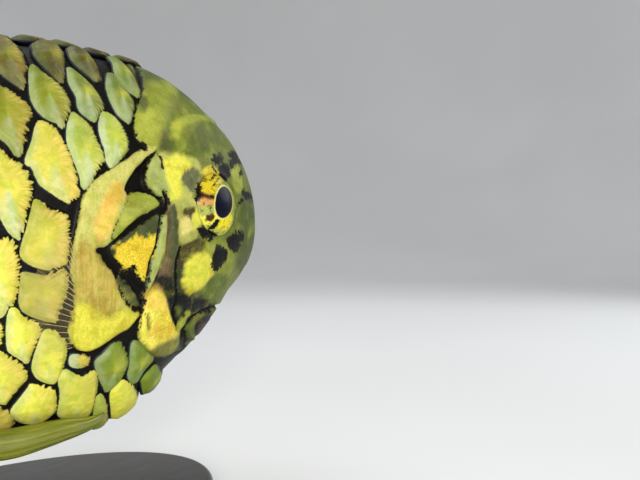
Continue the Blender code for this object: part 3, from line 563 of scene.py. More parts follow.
        (59.3, -24.3), (56.6, -23.1), (53.8, -19.9), (54.2, -18.4), (56.6, -17.6), (62.4, -19), (65.6, -18),
        (68.4, -16)), Tint.LEMON, soft=2.8, level=1.6, shoulder=2.2, strength=0.95, wander=1.2, grain=0.35,
        streak=0.3),
    "jaw_plate": Area(((51, -14.6), (48.9, -13), (47.2, -13.8), (45.4, -16.4), (43.6, -20.3), (38.9, -27.6),
        (38.6, -30.2), (40.7, -32.2), (45.5, -31.9), (49.8, -29), (52.6, -25.1), (53.8, -20.2), (52.8, -16.9)),
        Tint.JAW, soft=0.6, level=1.3, shoulder=2, wander=0.6, grain=0.6),
    "jaw_warm": Area(((51.5, -13.6), (48.8, -12.4), (46, -15), (45.5, -18.2), (49, -18), (51.8, -17)), Tint.PEACH,
        soft=2.2, strength=0.75),
    "jaw_gold": Area(((47.9, -19.5), (45.6, -18.8), (42.5, -23), (41.5, -25.6), (45, -26.4), (48.5, -24.5)),
        Tint.GOLD, soft=2.2, strength=0.65, wander=0.9, grain=1.1),
    "jaw_grey": Area(((42.2, -26.9), (37, -27.2), (36, -31.5), (40.4, -33.4), (46.5, -32.5), (49.5, -30)), Tint.SMOKE,
        soft=2, strength=0.85),
    "jaw_slit": Area(((51.5, -18.9), (50.7, -20.2), (50.3, -22.6), (50.7, -24), (51.9, -20.3)), Tint.BARK, soft=0.3,
        level=0.7, shoulder=0.4, strength=0.7),
    "mouth_shade": Area(((45.1, -15), (42.8, -14.6), (39.2, -15.4), (36.2, -16.8), (33.2, -17.4), (29.2, -17.7),
        (26.3, -19.6), (24, -22.3), (18, -25.5), (18, -30.5), (27.4, -34.5), (33, -34.5), (37.1, -30.4),
        (38.6, -27.2), (40.9, -24.1), (42.6, -22.4), (44.3, -19.5)), Tint.INK_BLUE, soft=0.9, level=0.2, shoulder=1.2,
        strength=0.96, wander=0.8),
    "dentary_rear": Area(((36.6, -19.9), (35.6, -21.2), (37, -22.4), (39.2, -27.4), (40.3, -25), (40.2, -23),
        (39.2, -21.4), (37.9, -20.2)), Tint.LEAF, soft=0.5, level=0.8, shoulder=0.8, strength=0.8, wander=0.8),
    "jaw_patch": Area(((41.9, -18.7), (40.2, -18.5), (39.7, -20.6), (40.9, -21.1)), Tint.MOSS, strength=0.8),
    "dentary_front": Area(((26.5, -21.7), (31.9, -23.7), (32.5, -24.9), (31.4, -26.7), (28, -30.5), (33.8, -28.4),
        (35.9, -26.3), (35.6, -24.1), (28.1, -21.3)), Tint.MOSS, soft=0.5, level=0.8, shoulder=0.8, strength=0.85),
    "chin": Area(((6, -8), (9, -14), (13, -17.5), (20, -25.5), (28, -33), (37, -39.5), (43, -44.5), (50, -49),
        (62, -52), (62, -60), (-6, -60), (-6, -8)), Tint.DUSK, soft=1.2, level=0.1, shoulder=1.2, strength=0.85),
    "tail_root": Area(((154.5, -16), (170, -16), (170, 18), (154.5, 18)), Tint.SCUTE_LIME, soft=0.8),
    "light_organ": Area(((19.8, -24.6), (26.9, -23.9), (31.2, -24.9), (30.3, -27.2), (26.4, -29.3), (22, -28.5)),
        Tint.LIP, soft=0.9, level=0.7, shoulder=1, strength=0.9),
}

STROKES: dict[str, Stroke] = {
    "nape": Stroke(((44.7, 51.2), (47.7, 43.6), (48.9, 40.9), (52, 36.4), (53.9, 31.9), (54, 27.9), (52.7, 25.7),
        (51.1, 24.6)), 0.85),
    "gill_hook": Stroke(((51.2, 21.2), (49.5, 22.4), (47.7, 23.5), (46.6, 22.2), (46.1, 20.7), (46.6, 19.5)), 0.35,
        level=0.1),
    "gill_line": Stroke(((46.3, 12.8), (45.2, 10.9), (45.9, 8), (47.6, 7)), 0.75, level=-0.6),
    "under_tongue": Stroke(((47.8, 8.8), (51, 7), (54.3, 5.4), (57.5, 2.8), (60, 0.5), (61.9, -1)), 0.5, level=0.2),
    "bar": Stroke(((47.9, 6.6), (48.6, 2.7), (49.5, -1.8), (51.3, -5.7), (52.1, -10), (52.5, -13.5), (53, -17.6),
        (53.1, -20.8)), 0.42, level=-0.2),
    "shoulder_slash": Stroke(((65.2, -2.6), (63.1, -2.9), (61.3, -5.4), (58.9, -8.7), (56.6, -10.8), (54.3, -13.3),
        (53, -16.3)), 0.8, level=-0.4),
    "slash_edge": Stroke(((59.9, -12.5), (58.4, -15), (56.6, -17.4), (55, -18.4)), 0.3, level=0.2),
    "cheek": Stroke(((41.5, -1.9), (42.8, -6), (42.5, -11.5), (41.6, -16.4), (42.6, -19.9), (40.4, -24.4)), 0.5,
        level=-0.4),
    "mouth": Stroke(((36.9, -27.2), (36.6, -25.2), (35.6, -23.5), (34, -22.3), (31.7, -21.6), (28.3, -20.9),
        (24, -20.7), (14, -20.6)), 0.6, level=-1.1),
    "brow_dots": Stroke(((28.5, 21.7), (27.2, 21.2), (26.8, 19.7), (27.9, 18.4), (29.6, 17.2), (31.4, 16.8),
        (32.6, 16.7)), 0.25, level=None, broken=True),
    "eye_line": Stroke(((12.3, 13.3), (14.8, 11.8), (16.6, 11)), 0.35, level=None, broken=True),
    "jaw_fold": Stroke(((38.1, -25.4), (35.6, -27.4), (33.7, -31.2), (31.6, -33.9)), 0.7, level=-0.4),
    "under_fin": Stroke(((72.3, -24.9), (71.1, -26), (69.3, -27.8), (66.3, -28.6), (62.7, -27.8), (60.2, -26),
        (57.6, -24.6), (55.1, -23.6), (53.6, -21.3)), 0.8),
}

BLOTCHES: tuple[Route, ...] = (
    ((26.9, 24.2), (25.8, 25.2), (23.3, 25.5), (22.2, 24.8), (23.6, 23.6), (26.1, 22.5), (27.1, 23.3)),
    ((18.3, 26.5), (15.3, 27.5), (11.3, 27.8), (11.6, 25.8), (9.6, 25.3), (14.7, 24.6), (17.4, 22.7), (19.6, 22.9),
     (18.9, 24.3), (16.9, 25.4)),
    ((24.6, 21.4), (22.8, 22.8), (20.2, 22.6), (19.5, 20.9), (20.6, 19), (23.1, 17.5), (24.2, 17.9), (24.6, 19.3)),
    ((35, 2.8), (33, 3.6), (30.9, 3.6), (28.7, 2.7), (28.7, 1.2), (30.6, 0), (32.3, 0.7), (34.4, 1.6)),
    ((21.9, 0.6), (19.8, 1.6), (16.5, 2.4), (13.3, 1.7), (13, 0.4), (15.2, -0.4), (15.3, -2.5), (19.3, -3.2),
     (21.8, -1.7)),
    ((29, -3.2), (26.3, -1.8), (23.2, -2.9), (23.4, -5.6), (25.7, -7.7), (27.4, -9.1), (29.5, -7.5), (29.4, -5.2)),
    ((13.9, 15), (11.6, 15.5), (7.8, 14.7), (5.9, 14), (6.5, 13.1), (11.3, 13.5), (13.5, 14.3)),
    ((34.8, 15.5), (33.3, 15.8), (33.2, 14.2), (34.3, 12.2), (35, 11), (35.7, 11.2), (35.2, 13.1), (36.1, 13.8)),
    ((13.9, 21.3), (12.8, 21.7), (12, 21.3), (12.7, 20.7), (13.9, 20.6)),
    ((58, -8.1), (57.1, -7.6), (56.3, -6.6), (55.7, -8.7), (54.6, -9.5), (53.4, -10.6), (52.5, -11.4), (52.7, -13.5),
     (54.8, -13.1), (56.8, -11.2)),
)


@dataclass(frozen=True)
class EyeShape:
    """The eyeball as a flattened ball and how it sits in the head.

    Attributes:
        at: Place behind the snout and height of its centre.
        across: Radius across the sight line.
        along: Radius along the sight line.
        sunk: Depth of its centre under the skin.
        forward: Angle by which it looks forward.
        upward: Angle by which it looks up.
    """

    at: tuple[float, float] = (26.4, 10.4)
    across: float = 9.8
    along: float = 5.5
    sunk: float = 2.2
    forward: float = math.radians(20.0)
    upward: float = math.radians(4.0)

    def axes(self) -> tuple[Array, Array, Array, Array]:
        """Centre of the right eye and its rearward, upward and outward directions.

        Returns:
            The centre and the three unit directions.
        """
        out = np.array((
            -math.sin(self.forward) * math.cos(self.upward),
            -math.cos(self.forward) * math.cos(self.upward),
            math.sin(self.upward),
        ))
        rear = np.cross(out, (0.0, 0.0, 1.0))
        rear /= np.linalg.norm(rear)
        rear *= math.copysign(1.0, rear[0])
        up = np.cross(rear, out)
        up *= math.copysign(1.0, up[2])
        return BODY.on_flank(*self.at) - out * self.sunk, rear, up, out

    def chart(self, points: Array) -> tuple[Array, Array, Array]:
        """How far places of the right flank lie behind, above and outside the eye's centre.

        Args:
            points: The places.

        Returns:
            Three numbers for each place.
        """
        centre, rear, up, out = self.axes()
        away = points - centre
        return away @ rear, away @ up, away @ out


class Recipe:
    """A material while its nodes are put together."""

    def __init__(self, name: str) -> None:
        """Starts a material with an empty Principled shader.

        Args:
            name: Name of the material.
        """
        self.material = bpy.data.materials.new(name)
        self.material.use_nodes = True
        self.tree = self.material.node_tree
        self.shader = self.tree.nodes["Principled BSDF"]

    def put(self, socket: Socket, value: object) -> None:
        """Links a socket into an input, or sets the input to a plain value.

        Args:
            socket: The input.
            value: A socket, a tint or a plain value.
        """
        if isinstance(value, bpy.types.NodeSocket):
            self.tree.links.new(value, socket)
        else:
            socket.default_value = value.rgba() if isinstance(value, Tint) else value

    def node(self, kind: str, inputs: dict[str | int, object] | None = None, **settings: object) -> bpy.types.Node:
        """Adds a node.

        Args:
            kind: The node's type without its prefix.
            inputs: What goes into its named or numbered inputs.
            **settings: Its properties.

        Returns:
            The node.
        """
        made = self.tree.nodes.new("ShaderNode" + kind)
        for name, value in settings.items():
            setattr(made, name, value)
        for name, value in (inputs or {}).items():
            self.put(made.inputs[name], value)
        return made

    def value(self, name: str) -> Socket:
        """A number stored on the mesh."""
        return self.node("Attribute", attribute_name=name).outputs["Fac"]

    def colour(self, name: str) -> Socket:
        """A colour stored on the mesh."""
        return self.node("Attribute", attribute_name=name).outputs["Color"]

    def vector(self, name: str) -> Socket:
        """A direction or chart stored on the mesh."""
        return self.node("Attribute", attribute_name=name).outputs["Vector"]

    def place(self) -> Socket:
        """The point's place in the model."""
        return self.node("TexCoord").outputs["Object"]

    def stretched(self, *scale: float) -> Socket:
        """The point's place with each axis scaled, which draws noise out along the small ones."""
        return self.node("Mapping", {"Vector": self.place(), "Scale": scale}).outputs[0]

    def math(self, operation: str, *values: object) -> Socket:
        """One step of arithmetic on numbers."""
        return self.node("Math", dict(enumerate(values)), operation=operation).outputs[0]

    def times(self, *values: object) -> Socket:
        """Multiplies numbers."""
        return reduce(partial(self.math, "MULTIPLY"), values)

    def plus(self, *values: object) -> Socket:
        """Adds numbers."""
        return reduce(partial(self.math, "ADD"), values)

    def noise(self, size: float, detail: float = 3.0, vector: Socket | None = None, rough: float = 0.55) -> Socket:
        """Noise from 0 to 1 with lumps of this size, in metres or in units of the chart that it follows."""
        inputs = {"Vector": vector or self.place(), "Scale": 1.0 / size, "Detail": detail, "Roughness": rough}
        return self.node("TexNoise", inputs).outputs["Fac"]

    def jitter(self, size: float, rough: float, reach: float = 1.0) -> Socket:
        """Fine noise round 0, of a given reach, that moves a border about."""
        return self.times(self.plus(self.noise(size, 6.0, rough=rough), -0.5), reach)

    def step(self, value: Socket, low: float, high: float, start: float = 0.0, end: float = 1.0) -> Socket:
        """A smooth step of a number between two limits, given as start and end."""
        inputs = {"Value": value, "From Min": low, "From Max": high, "To Min": start, "To Max": end}
        return self.node("MapRange", inputs, interpolation_type="SMOOTHSTEP").outputs[0]

    def mix(self, share: object, first: object, second: object, blend: str = "MIX") -> Socket:
        """Mixes two colours.

        Args:
            share: Share of the second.
            first: The first colour.
            second: The second colour.
            blend: How the second goes over the first.

        Returns:
            The mixed colour.
        """
        made = self.node("Mix", data_type="RGBA", blend_type=blend)
        for number, value in ((0, share), (6, first), (7, second)):
            self.put(made.inputs[number], value)
        return made.outputs[2]

    def stained(self, colour: object, tint: Tint, share: float = 1.0) -> Socket:
        """A colour with a share of a tint multiplied in."""
        return self.mix(share, colour, tint, "MULTIPLY")

    def veil(
        self, under: object, over: object, pattern: Socket, low: float, high: float, share: float = 1.0,
        within: Socket | None = None,
    ) -> Socket:
        """Lays a colour over another where a pattern goes from low to high.

        Args:
            under: Colour at low.
            over: Colour at high.
            pattern: The pattern.
            low: Where the upper colour starts.
            high: Where it is full.
            share: How much it covers there.
            within: A further share, from 0 to 1, or None.

        Returns:
            The colour.
        """
        cover = self.step(pattern, low, high, 0.0, share)
        if within is not None:
            cover = self.times(cover, within)
        return self.mix(cover, under, over)

    def bump(self, height: Socket, strength: float, distance: float, normal: Socket | None = None) -> Socket:
        """Turns a height into a bumped normal, over another normal where one is given."""
        under = {} if normal is None else {"Normal": normal}
        return self.node("Bump", {"Height": height, "Strength": strength, "Distance": distance, **under}).outputs[0]

    def finish(self, **inputs: object) -> Material:
        """Sets the shader's inputs.

        Args:
            **inputs: Their values, named with underscores for spaces.

        Returns:
            The material.
        """
        for name, value in inputs.items():
            self.put(self.shader.inputs[name.replace("_", " ")], value)
        return self.material


@dataclass(frozen=True)
class HideFinish:
    """Moist, faintly translucent skin and bone of the head, with crisp black blotches.

    Attributes:
        ragged: How far the borders of the black wander to either side, in millimetres.
        specks: How far those of the blotches do besides.
        gloss: Roughness of the surface.
        wet: Strength of the clear wet film.
        patch: Width of the broad patches, in metres like the next four.
        cloud: Width of the mottling.
        sand: Width of the finest grains.
        bead: Spacing of the beads on granular bone.
        thread: Width of the threads that run up and down.
    """

    ragged: float = 1.2
    specks: float = 3.6
    gloss: float = 0.44
    wet: float = 0.07
    patch: float = 0.006
    cloud: float = 0.0022
    sand: float = 0.0005
    bead: float = 1.0 / 2300.0
    thread: float = 0.0007

    def make(self) -> Material:
        """Makes the material from the colours and the black stored on the mesh.

        Returns:
            The material.
        """
        r = Recipe("head_hide")
        paint, grain, streak = r.colour("paint"), r.value("grain"), r.value("streak")
        broad, clouds = r.noise(self.patch), r.noise(self.cloud, 5.0, rough=0.65)
        sand = r.noise(self.sand, rough=0.7)
        cells = r.node("TexVoronoi", {"Vector": r.place(), "Scale": 1.0 / self.bead}, feature="F1")
        beads = cells.outputs["Distance"]
        threads = r.noise(self.thread, vector=r.stretched(1.0, 1.0, 0.07), rough=0.6)
        warm = r.stained(paint, Tint.GRAIN_DARK)
        base = r.veil(paint, r.stained(paint, Tint.MOTTLE, 0.9), clouds, 0.42, 0.64, 0.6)
        base = r.veil(base, warm, broad, 0.52, 0.34, 0.35)
        base = r.veil(base, Tint.LEMON, broad, 0.52, 0.72, 0.22)
        base = r.veil(base, warm, beads, 0.30, 0.62, 1.0, r.plus(r.times(grain, 0.36), 0.12))
        base = r.veil(base, warm, threads, 0.54, 0.38, 0.35, streak)
        base = r.veil(base, Tint.SPARKLE, threads, 0.56, 0.72, 0.35, streak)
        base = r.veil(base, Tint.SPARKLE, sand, 0.60, 0.74, 0.32)
        pepper = r.times(r.jitter(0.0019, 0.82, self.specks * 2), r.value("pepper"))
        black = r.plus(r.value("ink"), r.jitter(0.0016, 0.78, self.ragged * 2), pepper)
        base = r.veil(base, Tint.BARK, black, 0.30, 0.0, 0.2)
        base = r.veil(base, r.veil(Tint.INK, Tint.INK_BLUE, clouds, 0.52, 0.8), black, 0.10, -0.06)
        beaded = r.times(beads, r.plus(r.times(grain, 0.6), 0.2))
        relief = r.plus(r.times(sand, 0.5), beaded, r.times(threads, streak, 0.5))
        return r.finish(
            Base_Color=base, Roughness=r.step(sand, 0.3, 0.7, self.gloss - 0.06, self.gloss + 0.14),
            Normal=r.bump(relief, 0.45, 0.0003, r.bump(clouds, 0.45, 0.0008)), Specular_IOR_Level=0.09,
            Coat_Weight=self.wet, Coat_Roughness=0.22, Coat_IOR=1.38, Subsurface_Weight=0.10,
            Subsurface_Radius=(1.0, 0.8, 0.3), Subsurface_Scale=0.001,
        )


@dataclass(frozen=True)
class ScuteFinish:
    """Hard yellow plates with rays that fan out to a toothed front edge, in black margins that carry a painted
    slate-blue sheen along the rear side of each plate.

    Attributes:
        teeth: How far the rays push the front edge about, in millimetres.
        gloss: Roughness of the plate.
        wet: Strength of the clear wet film.
        patch: Width of the hazy patches, in metres like the next four.
        cloud: Width of the mottling.
        freckle: Width of the dark freckles.
        crumb: Width of the crumbs along the border.
        sand: Width of the finest grains.
    """

    teeth: float = 4.2
    gloss: float = 0.42
    wet: float = 0.06
    patch: float = 0.0052
    cloud: float = 0.0026
    freckle: float = 0.0009
    crumb: float = 0.0011
    sand: float = 0.00045

    def make(self) -> Material:
        """Makes the material from the charts and colours stored on the plates.

        Returns:
            The material.
        """
        r = Recipe("scute_plate")
        plate, fore, edge = r.colour("paint"), r.value("fore"), r.value("edge")
        rays = r.noise(1.0, vector=r.vector("fan"), rough=0.62)
        clouds, patches = r.noise(self.cloud, 5.0, rough=0.6), r.noise(self.patch, rough=0.5)
        sand = r.noise(self.sand, 2.0, rough=0.6)
        teeth = r.times(r.plus(rays, -0.5), fore, self.teeth)
        crumbs = r.times(r.jitter(self.crumb, 0.85), r.step(fore, 0.0, 0.6, 0.7, 1.9))
        border = r.plus(edge, teeth, crumbs, r.times(fore, -0.3))
        bright = r.mix(0.5, plate, Tint.SPARKLE)
        near_front = r.plus(r.times(fore, r.step(edge, 3.4, 0.8, 0.15, 1.0)), 0.06)
        base = r.veil(plate, r.stained(plate, Tint.MOTTLE, 0.9), clouds, 0.40, 0.62, 0.70)
        base = r.veil(base, r.mix(0.5, plate, Tint.SMOKE), patches, 0.50, 0.32, 0.30)
        base = r.veil(base, r.mix(0.4, plate, Tint.LEMON), patches, 0.50, 0.70, 0.25)
        base = r.veil(base, bright, rays, 0.46, 0.66, 0.45, near_front)
        base = r.veil(base, r.stained(plate, Tint.GRAIN_DARK), rays, 0.50, 0.34, 0.40, near_front)
        base = r.veil(base, bright, sand, 0.58, 0.74, 0.25)
        freckles = r.step(r.noise(self.freckle, 4.0, rough=0.7), 0.63, 0.70)
        base = r.veil(base, Tint.BARK, patches, 0.40, 0.60, 0.35, freckles)
        # Rear side of the margin: a painted slate-blue sheen next to the plate, going to black beyond
        behind = r.veil(Tint.SHEEN_SLATE_BLUE, r.veil(Tint.INK, Tint.INK_BLUE, clouds, 0.45, 0.6), edge, -0.55, -1.0)
        before = r.veil(Tint.INK_BROWN, Tint.INK, border, 0.0, -0.5)
        base = r.veil(base, r.mix(r.value("rear"), before, behind), border, -0.35, -0.53)
        relief = r.plus(r.times(rays, near_front), r.times(sand, 0.35))
        return r.finish(
            Base_Color=base, Roughness=r.step(sand, 0.3, 0.7, self.gloss - 0.06, self.gloss + 0.12),
            Normal=r.bump(relief, 0.45, 0.0004, r.bump(clouds, 0.2, 0.0006)), Specular_IOR_Level=0.10,
            Coat_Weight=self.wet, Coat_Roughness=0.25, Coat_IOR=1.38, Subsurface_Weight=0.05,
            Subsurface_Radius=(1.0, 0.8, 0.3), Subsurface_Scale=0.001,
        )


@dataclass(frozen=True)
class EyeFinish:
    """Glossy eye: navy pupil, thin pale ring, and an iris of gold with brown mottling.

    Attributes:
        fleck: Width of the brown flecks, in metres.
        gloss: Roughness under the clear surface.
        wet: Strength of the clear surface.
    """

    fleck: float = 0.0012
    gloss: float = 0.30
    wet: float = 0.14

    def make(self) -> Material:
        """Makes the material from the colours stored on the eyeball.

        Returns:
            The material.
        """
        r = Recipe("eye_glass")
        paint, iris = r.colour("paint"), r.value("iris")
        flecks = r.noise(self.fleck, 5.0, rough=0.7)
        base = r.veil(paint, r.stained(paint, Tint.IRIS_BROWN, 0.85), flecks, 0.5, 0.66, 1.0, iris)
        black = r.plus(r.value("ink"), r.jitter(0.001, 0.8, 2.8))
        base = r.veil(base, Tint.INK, black, 0.14, -0.1, 1.0, iris)
        return r.finish(
            Base_Color=base, Roughness=self.gloss, Normal=r.bump(flecks, 0.12, 0.0003), Specular_IOR_Level=0.08,
            Coat_Weight=self.wet, Coat_Roughness=0.05, Coat_IOR=1.33,
        )


@dataclass(frozen=True)
class RayFinish:
    """Horny fin rays and spines, streaked lengthwise.

    Attributes:
        name: Name of the material.
        base: Main colour.
        streak: Colour of the streaks.
        gloss: Roughness.
    """

    name: str
    base: Tint
    streak: Tint
    gloss: float = 0.38

    def make(self) -> Material:
        """Makes the material from a chart that runs along and around each ray.

        Returns:
            The material.
        """
        r = Recipe(self.name)
        grain = r.noise(1.0, 4.0, r.vector("fan"), 0.6)
        base = r.veil(self.base, self.streak, grain, 0.52, 0.68)
        base = r.veil(base, r.stained(self.base, Tint.BARK, 0.7), grain, 0.46, 0.32, 0.55)
        relief = r.plus(grain, r.times(r.noise(0.0008), 0.3))
        return r.finish(
            Base_Color=base, Roughness=r.step(grain, 0.3, 0.7, self.gloss + 0.1, self.gloss - 0.05),
            Normal=r.bump(relief, 0.35, 0.0005), Coat_Weight=0.2, Coat_Roughness=0.2,
        )


@dataclass(frozen=True)
class WebFinish:
    """Thin clear membrane between the rays of a fin.

    Attributes:
        name: Name of the material.
        cover: Share of light that it holds back.
    """

    name: str
    cover: float

    def make(self) -> Material:
        """Makes the material, evenly see-through with faint cloudy veins.

        Returns:
            The material.
        """
        r = Recipe(self.name)
        cloud = r.noise(0.003, 5.0, rough=0.6)
        return r.finish(
            Base_Color=r.veil(Tint.FIN_WEB, Tint.FIN_RAY, cloud, 0.35, 0.7), Alpha=self.cover,
            Roughness=r.step(cloud, 0.3, 0.7, 0.35, 0.5), Normal=r.bump(cloud, 0.25, 0.0004),
        )


@dataclass(frozen=True)
class LacquerFinish:
    """Dark satin lacquer over fine-grained wood, for the base.

    Attributes:
        grain: Spacing of the wood's grain, in metres.
        coat: Strength of the lacquer.
    """

    grain: float = 0.012
    coat: float = 0.35

    def make(self) -> Material:
        """Makes the material.

        Returns:
            The material.
        """
        r = Recipe("stand_lacquer")
        grain = r.noise(self.grain, 6.0, r.stretched(1.0, 9.0, 9.0), 0.6)
        return r.finish(
            Base_Color=r.veil(Tint.LACQUER, r.mix(0.5, Tint.LACQUER, Tint.BARK), grain, 0.4, 0.65),
            Roughness=r.step(grain, 0.3, 0.7, 0.30, 0.42), Normal=r.bump(grain, 0.08, 0.0003),
            Coat_Weight=self.coat, Coat_Roughness=0.12,
        )


@dataclass(frozen=True)
class SteelFinish:
    """Brushed steel of the rod.

    Attributes:
        brush: Spacing of the brush marks, in metres along the rod times their stretch.
    """

    brush: float = 0.006

    def make(self) -> Material:
        """Makes the material, brushed round the rod.

        Returns:
            The material.
        """
        r = Recipe("stand_steel")
        marks = r.noise(self.brush, 4.0, r.stretched(1.0, 1.0, 40.0), 0.7)
        return r.finish(
            Base_Color=Tint.STEEL, Metallic=1.0, Roughness=r.step(marks, 0.3, 0.7, 0.24, 0.38),
            Normal=r.bump(marks, 0.06, 0.0001),
        )


def store(mesh: Mesh, name: str, values: Array) -> None:
    """Stores a number, direction or colour for each vertex of a mesh.

    Args:
        mesh: The mesh.
        name: Name of the attribute.
        values: A row for each vertex.
    """
    kinds = {1: ("FLOAT", "value"), 3: ("FLOAT_VECTOR", "vector"), 4: ("FLOAT_COLOR", "color")}
    width = 1 if values.ndim == 1 else values.shape[1]
    kind, field_name = kinds[width]
    layer = mesh.attributes.new(name, kind, "POINT")
    layer.data.foreach_set(field_name, np.ascontiguousarray(values, np.float32).ravel())


def positions(mesh: Mesh) -> Array:
    """The vertices of a mesh as rows.

    Args:
        mesh: The mesh.

    Returns:
        Rows of x, y and z.
    """
    flat = np.empty(len(mesh.vertices) * 3, np.float32)
    mesh.vertices.foreach_get("co", flat)
    return flat.reshape(-1, 3).astype(float)


def move_to(mesh: Mesh, points: Array) -> None:
    """Moves the vertices of a mesh."""
    mesh.vertices.foreach_set("co", np.ascontiguousarray(points, np.float32).ravel())
    mesh.update()


def add_piece(
    name: str, mesh: Mesh, finishes: Sequence[Material], replaces: Sequence[str] = ()
) -> Piece:
    """Adds a finished piece to the model.

    Args:
        name: Name of the piece.
        mesh: Its mesh, in the model's place.
        finishes: Its materials.
        replaces: Solids that it stands for.

    Returns:
        The piece.
    """
    for finish in finishes:
        mesh.materials.append(finish)
    mesh.shade_smooth()
    piece = bpy.data.objects.new(name, mesh)
    bpy.context.scene.collection.objects.link(piece)
    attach(piece, "root")
    if replaces:
        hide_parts(*replaces)
    log.info("%s: %d vertices, %d faces", name, len(mesh.vertices), len(mesh.polygons))
    return piece


def mesh_from(name: str, form: BMesh) -> Mesh:
    """Turns a bmesh into a mesh and frees it.

    Args:
        name: Name of the mesh.
        form: The bmesh.

    Returns:
        The mesh.
    """
    mesh = bpy.data.meshes.new(name)
    form.to_mesh(mesh)
    form.free()
    return mesh


def turned(profile: Sequence[tuple[float, float]], steps: int) -> BMesh:
    """Turns a profile once round the upright axis.

    Args:
        profile: Its corners as radius and height, in metres.
        steps: Faces round the axis.

    Returns:
        The form.
    """
    form = bmesh.new()
    corners = [form.verts.new((radius, 0.0, height)) for radius, height in profile]
    edges = [form.edges.new(pair) for pair in zip(corners, corners[1:])]
    bmesh.ops.spin(
        form, geom=corners + edges, cent=(0, 0, 0), axis=(0, 0, 1), angle=math.tau, steps=steps, use_merge=True,
    )
    bmesh.ops.remove_doubles(form, verts=form.verts, dist=1e-6)
    bmesh.ops.recalc_face_normals(form, faces=form.faces)
    return form


@dataclass
class Paint:
    """The look of the skin at many places.

    Attributes:
        paint: Colours.
        ink: Distance to the black, below 0 inside it.
        level: Height of the surface over the smooth body.
        grain: How granular the surface is.
        streak: How finely it is lined.
        pepper: How ragged the black is.
    """

    paint: Array
    ink: Array
    level: Array
    grain: Array
    streak: Array
    pepper: Array


def paint_at(points: Array, seed: float) -> Paint:
    """Works out the look of the head and shoulder at places on a flank.

    Args:
        points: Places of the right flank.
        seed: Shifts the noise, so that the two flanks aren't alike to the last speck.

    Returns:
        The look at each place.
    """
    seen = points[:, [0, 2]]
    count = len(points)
    colour = np.tile(np.array(Tint.INK.rgba()), (count, 1))
    level, ink = np.full(count, -0.25), np.full(count, -2.0)
    grain, streak = np.zeros(count), np.zeros(count)
    wander = fractal(points, 3.0, seed) + 0.5 * fractal(points, 0.9, seed + 5.0)
    for area in AREAS.values():
        outline = closed_curve(area.outline)
        low, high = outline.min(0) - 5.0, outline.max(0) + 5.0
        near = np.flatnonzero(np.all((seen > low) & (seen < high), axis=1))
        distance = distance_to_outline(seen[near], outline)
        share = ease(area.soft * 0.6, -area.soft * 0.4, distance + wander[near] * area.wander) * area.strength
        colour[near] = toward(colour[near], area.tint, share)
        grain[near] += (area.grain - grain[near]) * share
        streak[near] += (area.streak - streak[near]) * share
        if area.tint is Tint.INK:
            ink[near] = np.minimum(ink[near], distance)
        else:
            ink[near] = np.maximum(ink[near], -distance)
        if area.level is not None:
            rise = ease(area.shoulder * 0.35, -area.shoulder * 0.65, distance)
            level[near] += (area.level - level[near]) * rise
    spots = np.full(count, 9.0)
    for stroke in STROKES.values():
        distance = distance_to_path(seen, np.array(stroke.path)) - stroke.half
        if stroke.inked:
            ink = np.minimum(ink, distance)
        if stroke.level is not None:
            level += (stroke.level - level) * ease(0.4, -0.3, distance)
        if stroke.broken:
            spots = np.minimum(spots, distance)
    for blotch in BLOTCHES:
        spots = np.minimum(spots, distance_to_outline(seen, closed_curve(blotch)) - 0.35)
    return Paint(colour, np.clip(np.minimum(ink, spots), -2.0, 2.0), level, grain, streak, ease(3.0, 0.8, spots))


def unit_ball(around: int, rings: int) -> tuple[Mesh, Array, Array]:
    """Makes a ball of radius 1 whose vertices are to be moved.

    Args:
        around: Vertices in a ring.
        rings: Rings between the two poles.

    Returns:
        The ball, with the ring of each vertex, counted from the first pole, and its number round the ring.
    """
    form = bmesh.new()
    bmesh.ops.create_uvsphere(form, u_segments=around, v_segments=rings + 1, radius=1.0)
    ball = mesh_from("ball", form)
    at = positions(ball)
    ring = np.rint(np.arccos(np.clip(at[:, 2], -1.0, 1.0)) / math.pi * (rings + 1)).astype(int)
    return ball, ring, np.rint(np.arctan2(at[:, 1], at[:, 0]) / math.tau * around).astype(int)


def shells_mesh(name: str, shells: Sequence[dict[str, Array]], around: int, side: Side) -> Mesh:
    """Joins closed shells into one mesh, each drawn out from a ball.

    Args:
        name: Name of the mesh.
        shells: For each shell its points on the right flank and what else is stored on them, in rows that run
            from the first pole over the rings to the last pole. A chart becomes the map for baking.
        around: Points in a ring.
        side: Flank that they lie on.

    Returns:
        The mesh, with its faces outwards.
    """
    form = bmesh.new()
    balls: dict[int, tuple[Mesh, Array, Array]] = {}
    rows = []
    for shell in shells:
        points = BODY.world(shell["points"], side)
        rings = (len(points) - 2) // around
        if rings not in balls:
            balls[rings] = unit_ball(around, rings)
        ball, ring, spoke = balls[rings]
        form.from_mesh(ball)
        band = points[1:-1].reshape(rings, around, 3)[rings // 2]
        band = band - band.mean(0)
        backwards = np.cross(band, np.roll(band, -1, 0)).sum(0) @ (points[0] - points[-1]) < 0
        row = 1 + (ring - 1) * around + (-spoke if backwards else spoke) % around
        row = np.where(ring == 0, 0, np.where(ring > rings, len(points) - 1, row))
        rows.append({key: values[row] for key, values in shell.items()} | {"points": points[row]})
    for ball, _, _ in balls.values():
        bpy.data.meshes.remove(ball)
    mesh = mesh_from(name, form)
    stored = {key: np.concatenate([row[key] for row in rows]) for key in rows[0]}
    move_to(mesh, stored.pop("points"))
    if "chart" in stored:
        corners = np.empty(len(mesh.loops), np.int32)
        mesh.loops.foreach_get("vertex_index", corners)
        layer = mesh.uv_layers.new(name=BAKE_MAP)
        layer.data.foreach_set("uv", np.ascontiguousarray(stored.pop("chart")[corners], np.float32).ravel())
    for key, values in stored.items():
        store(mesh, key, values)
    return mesh


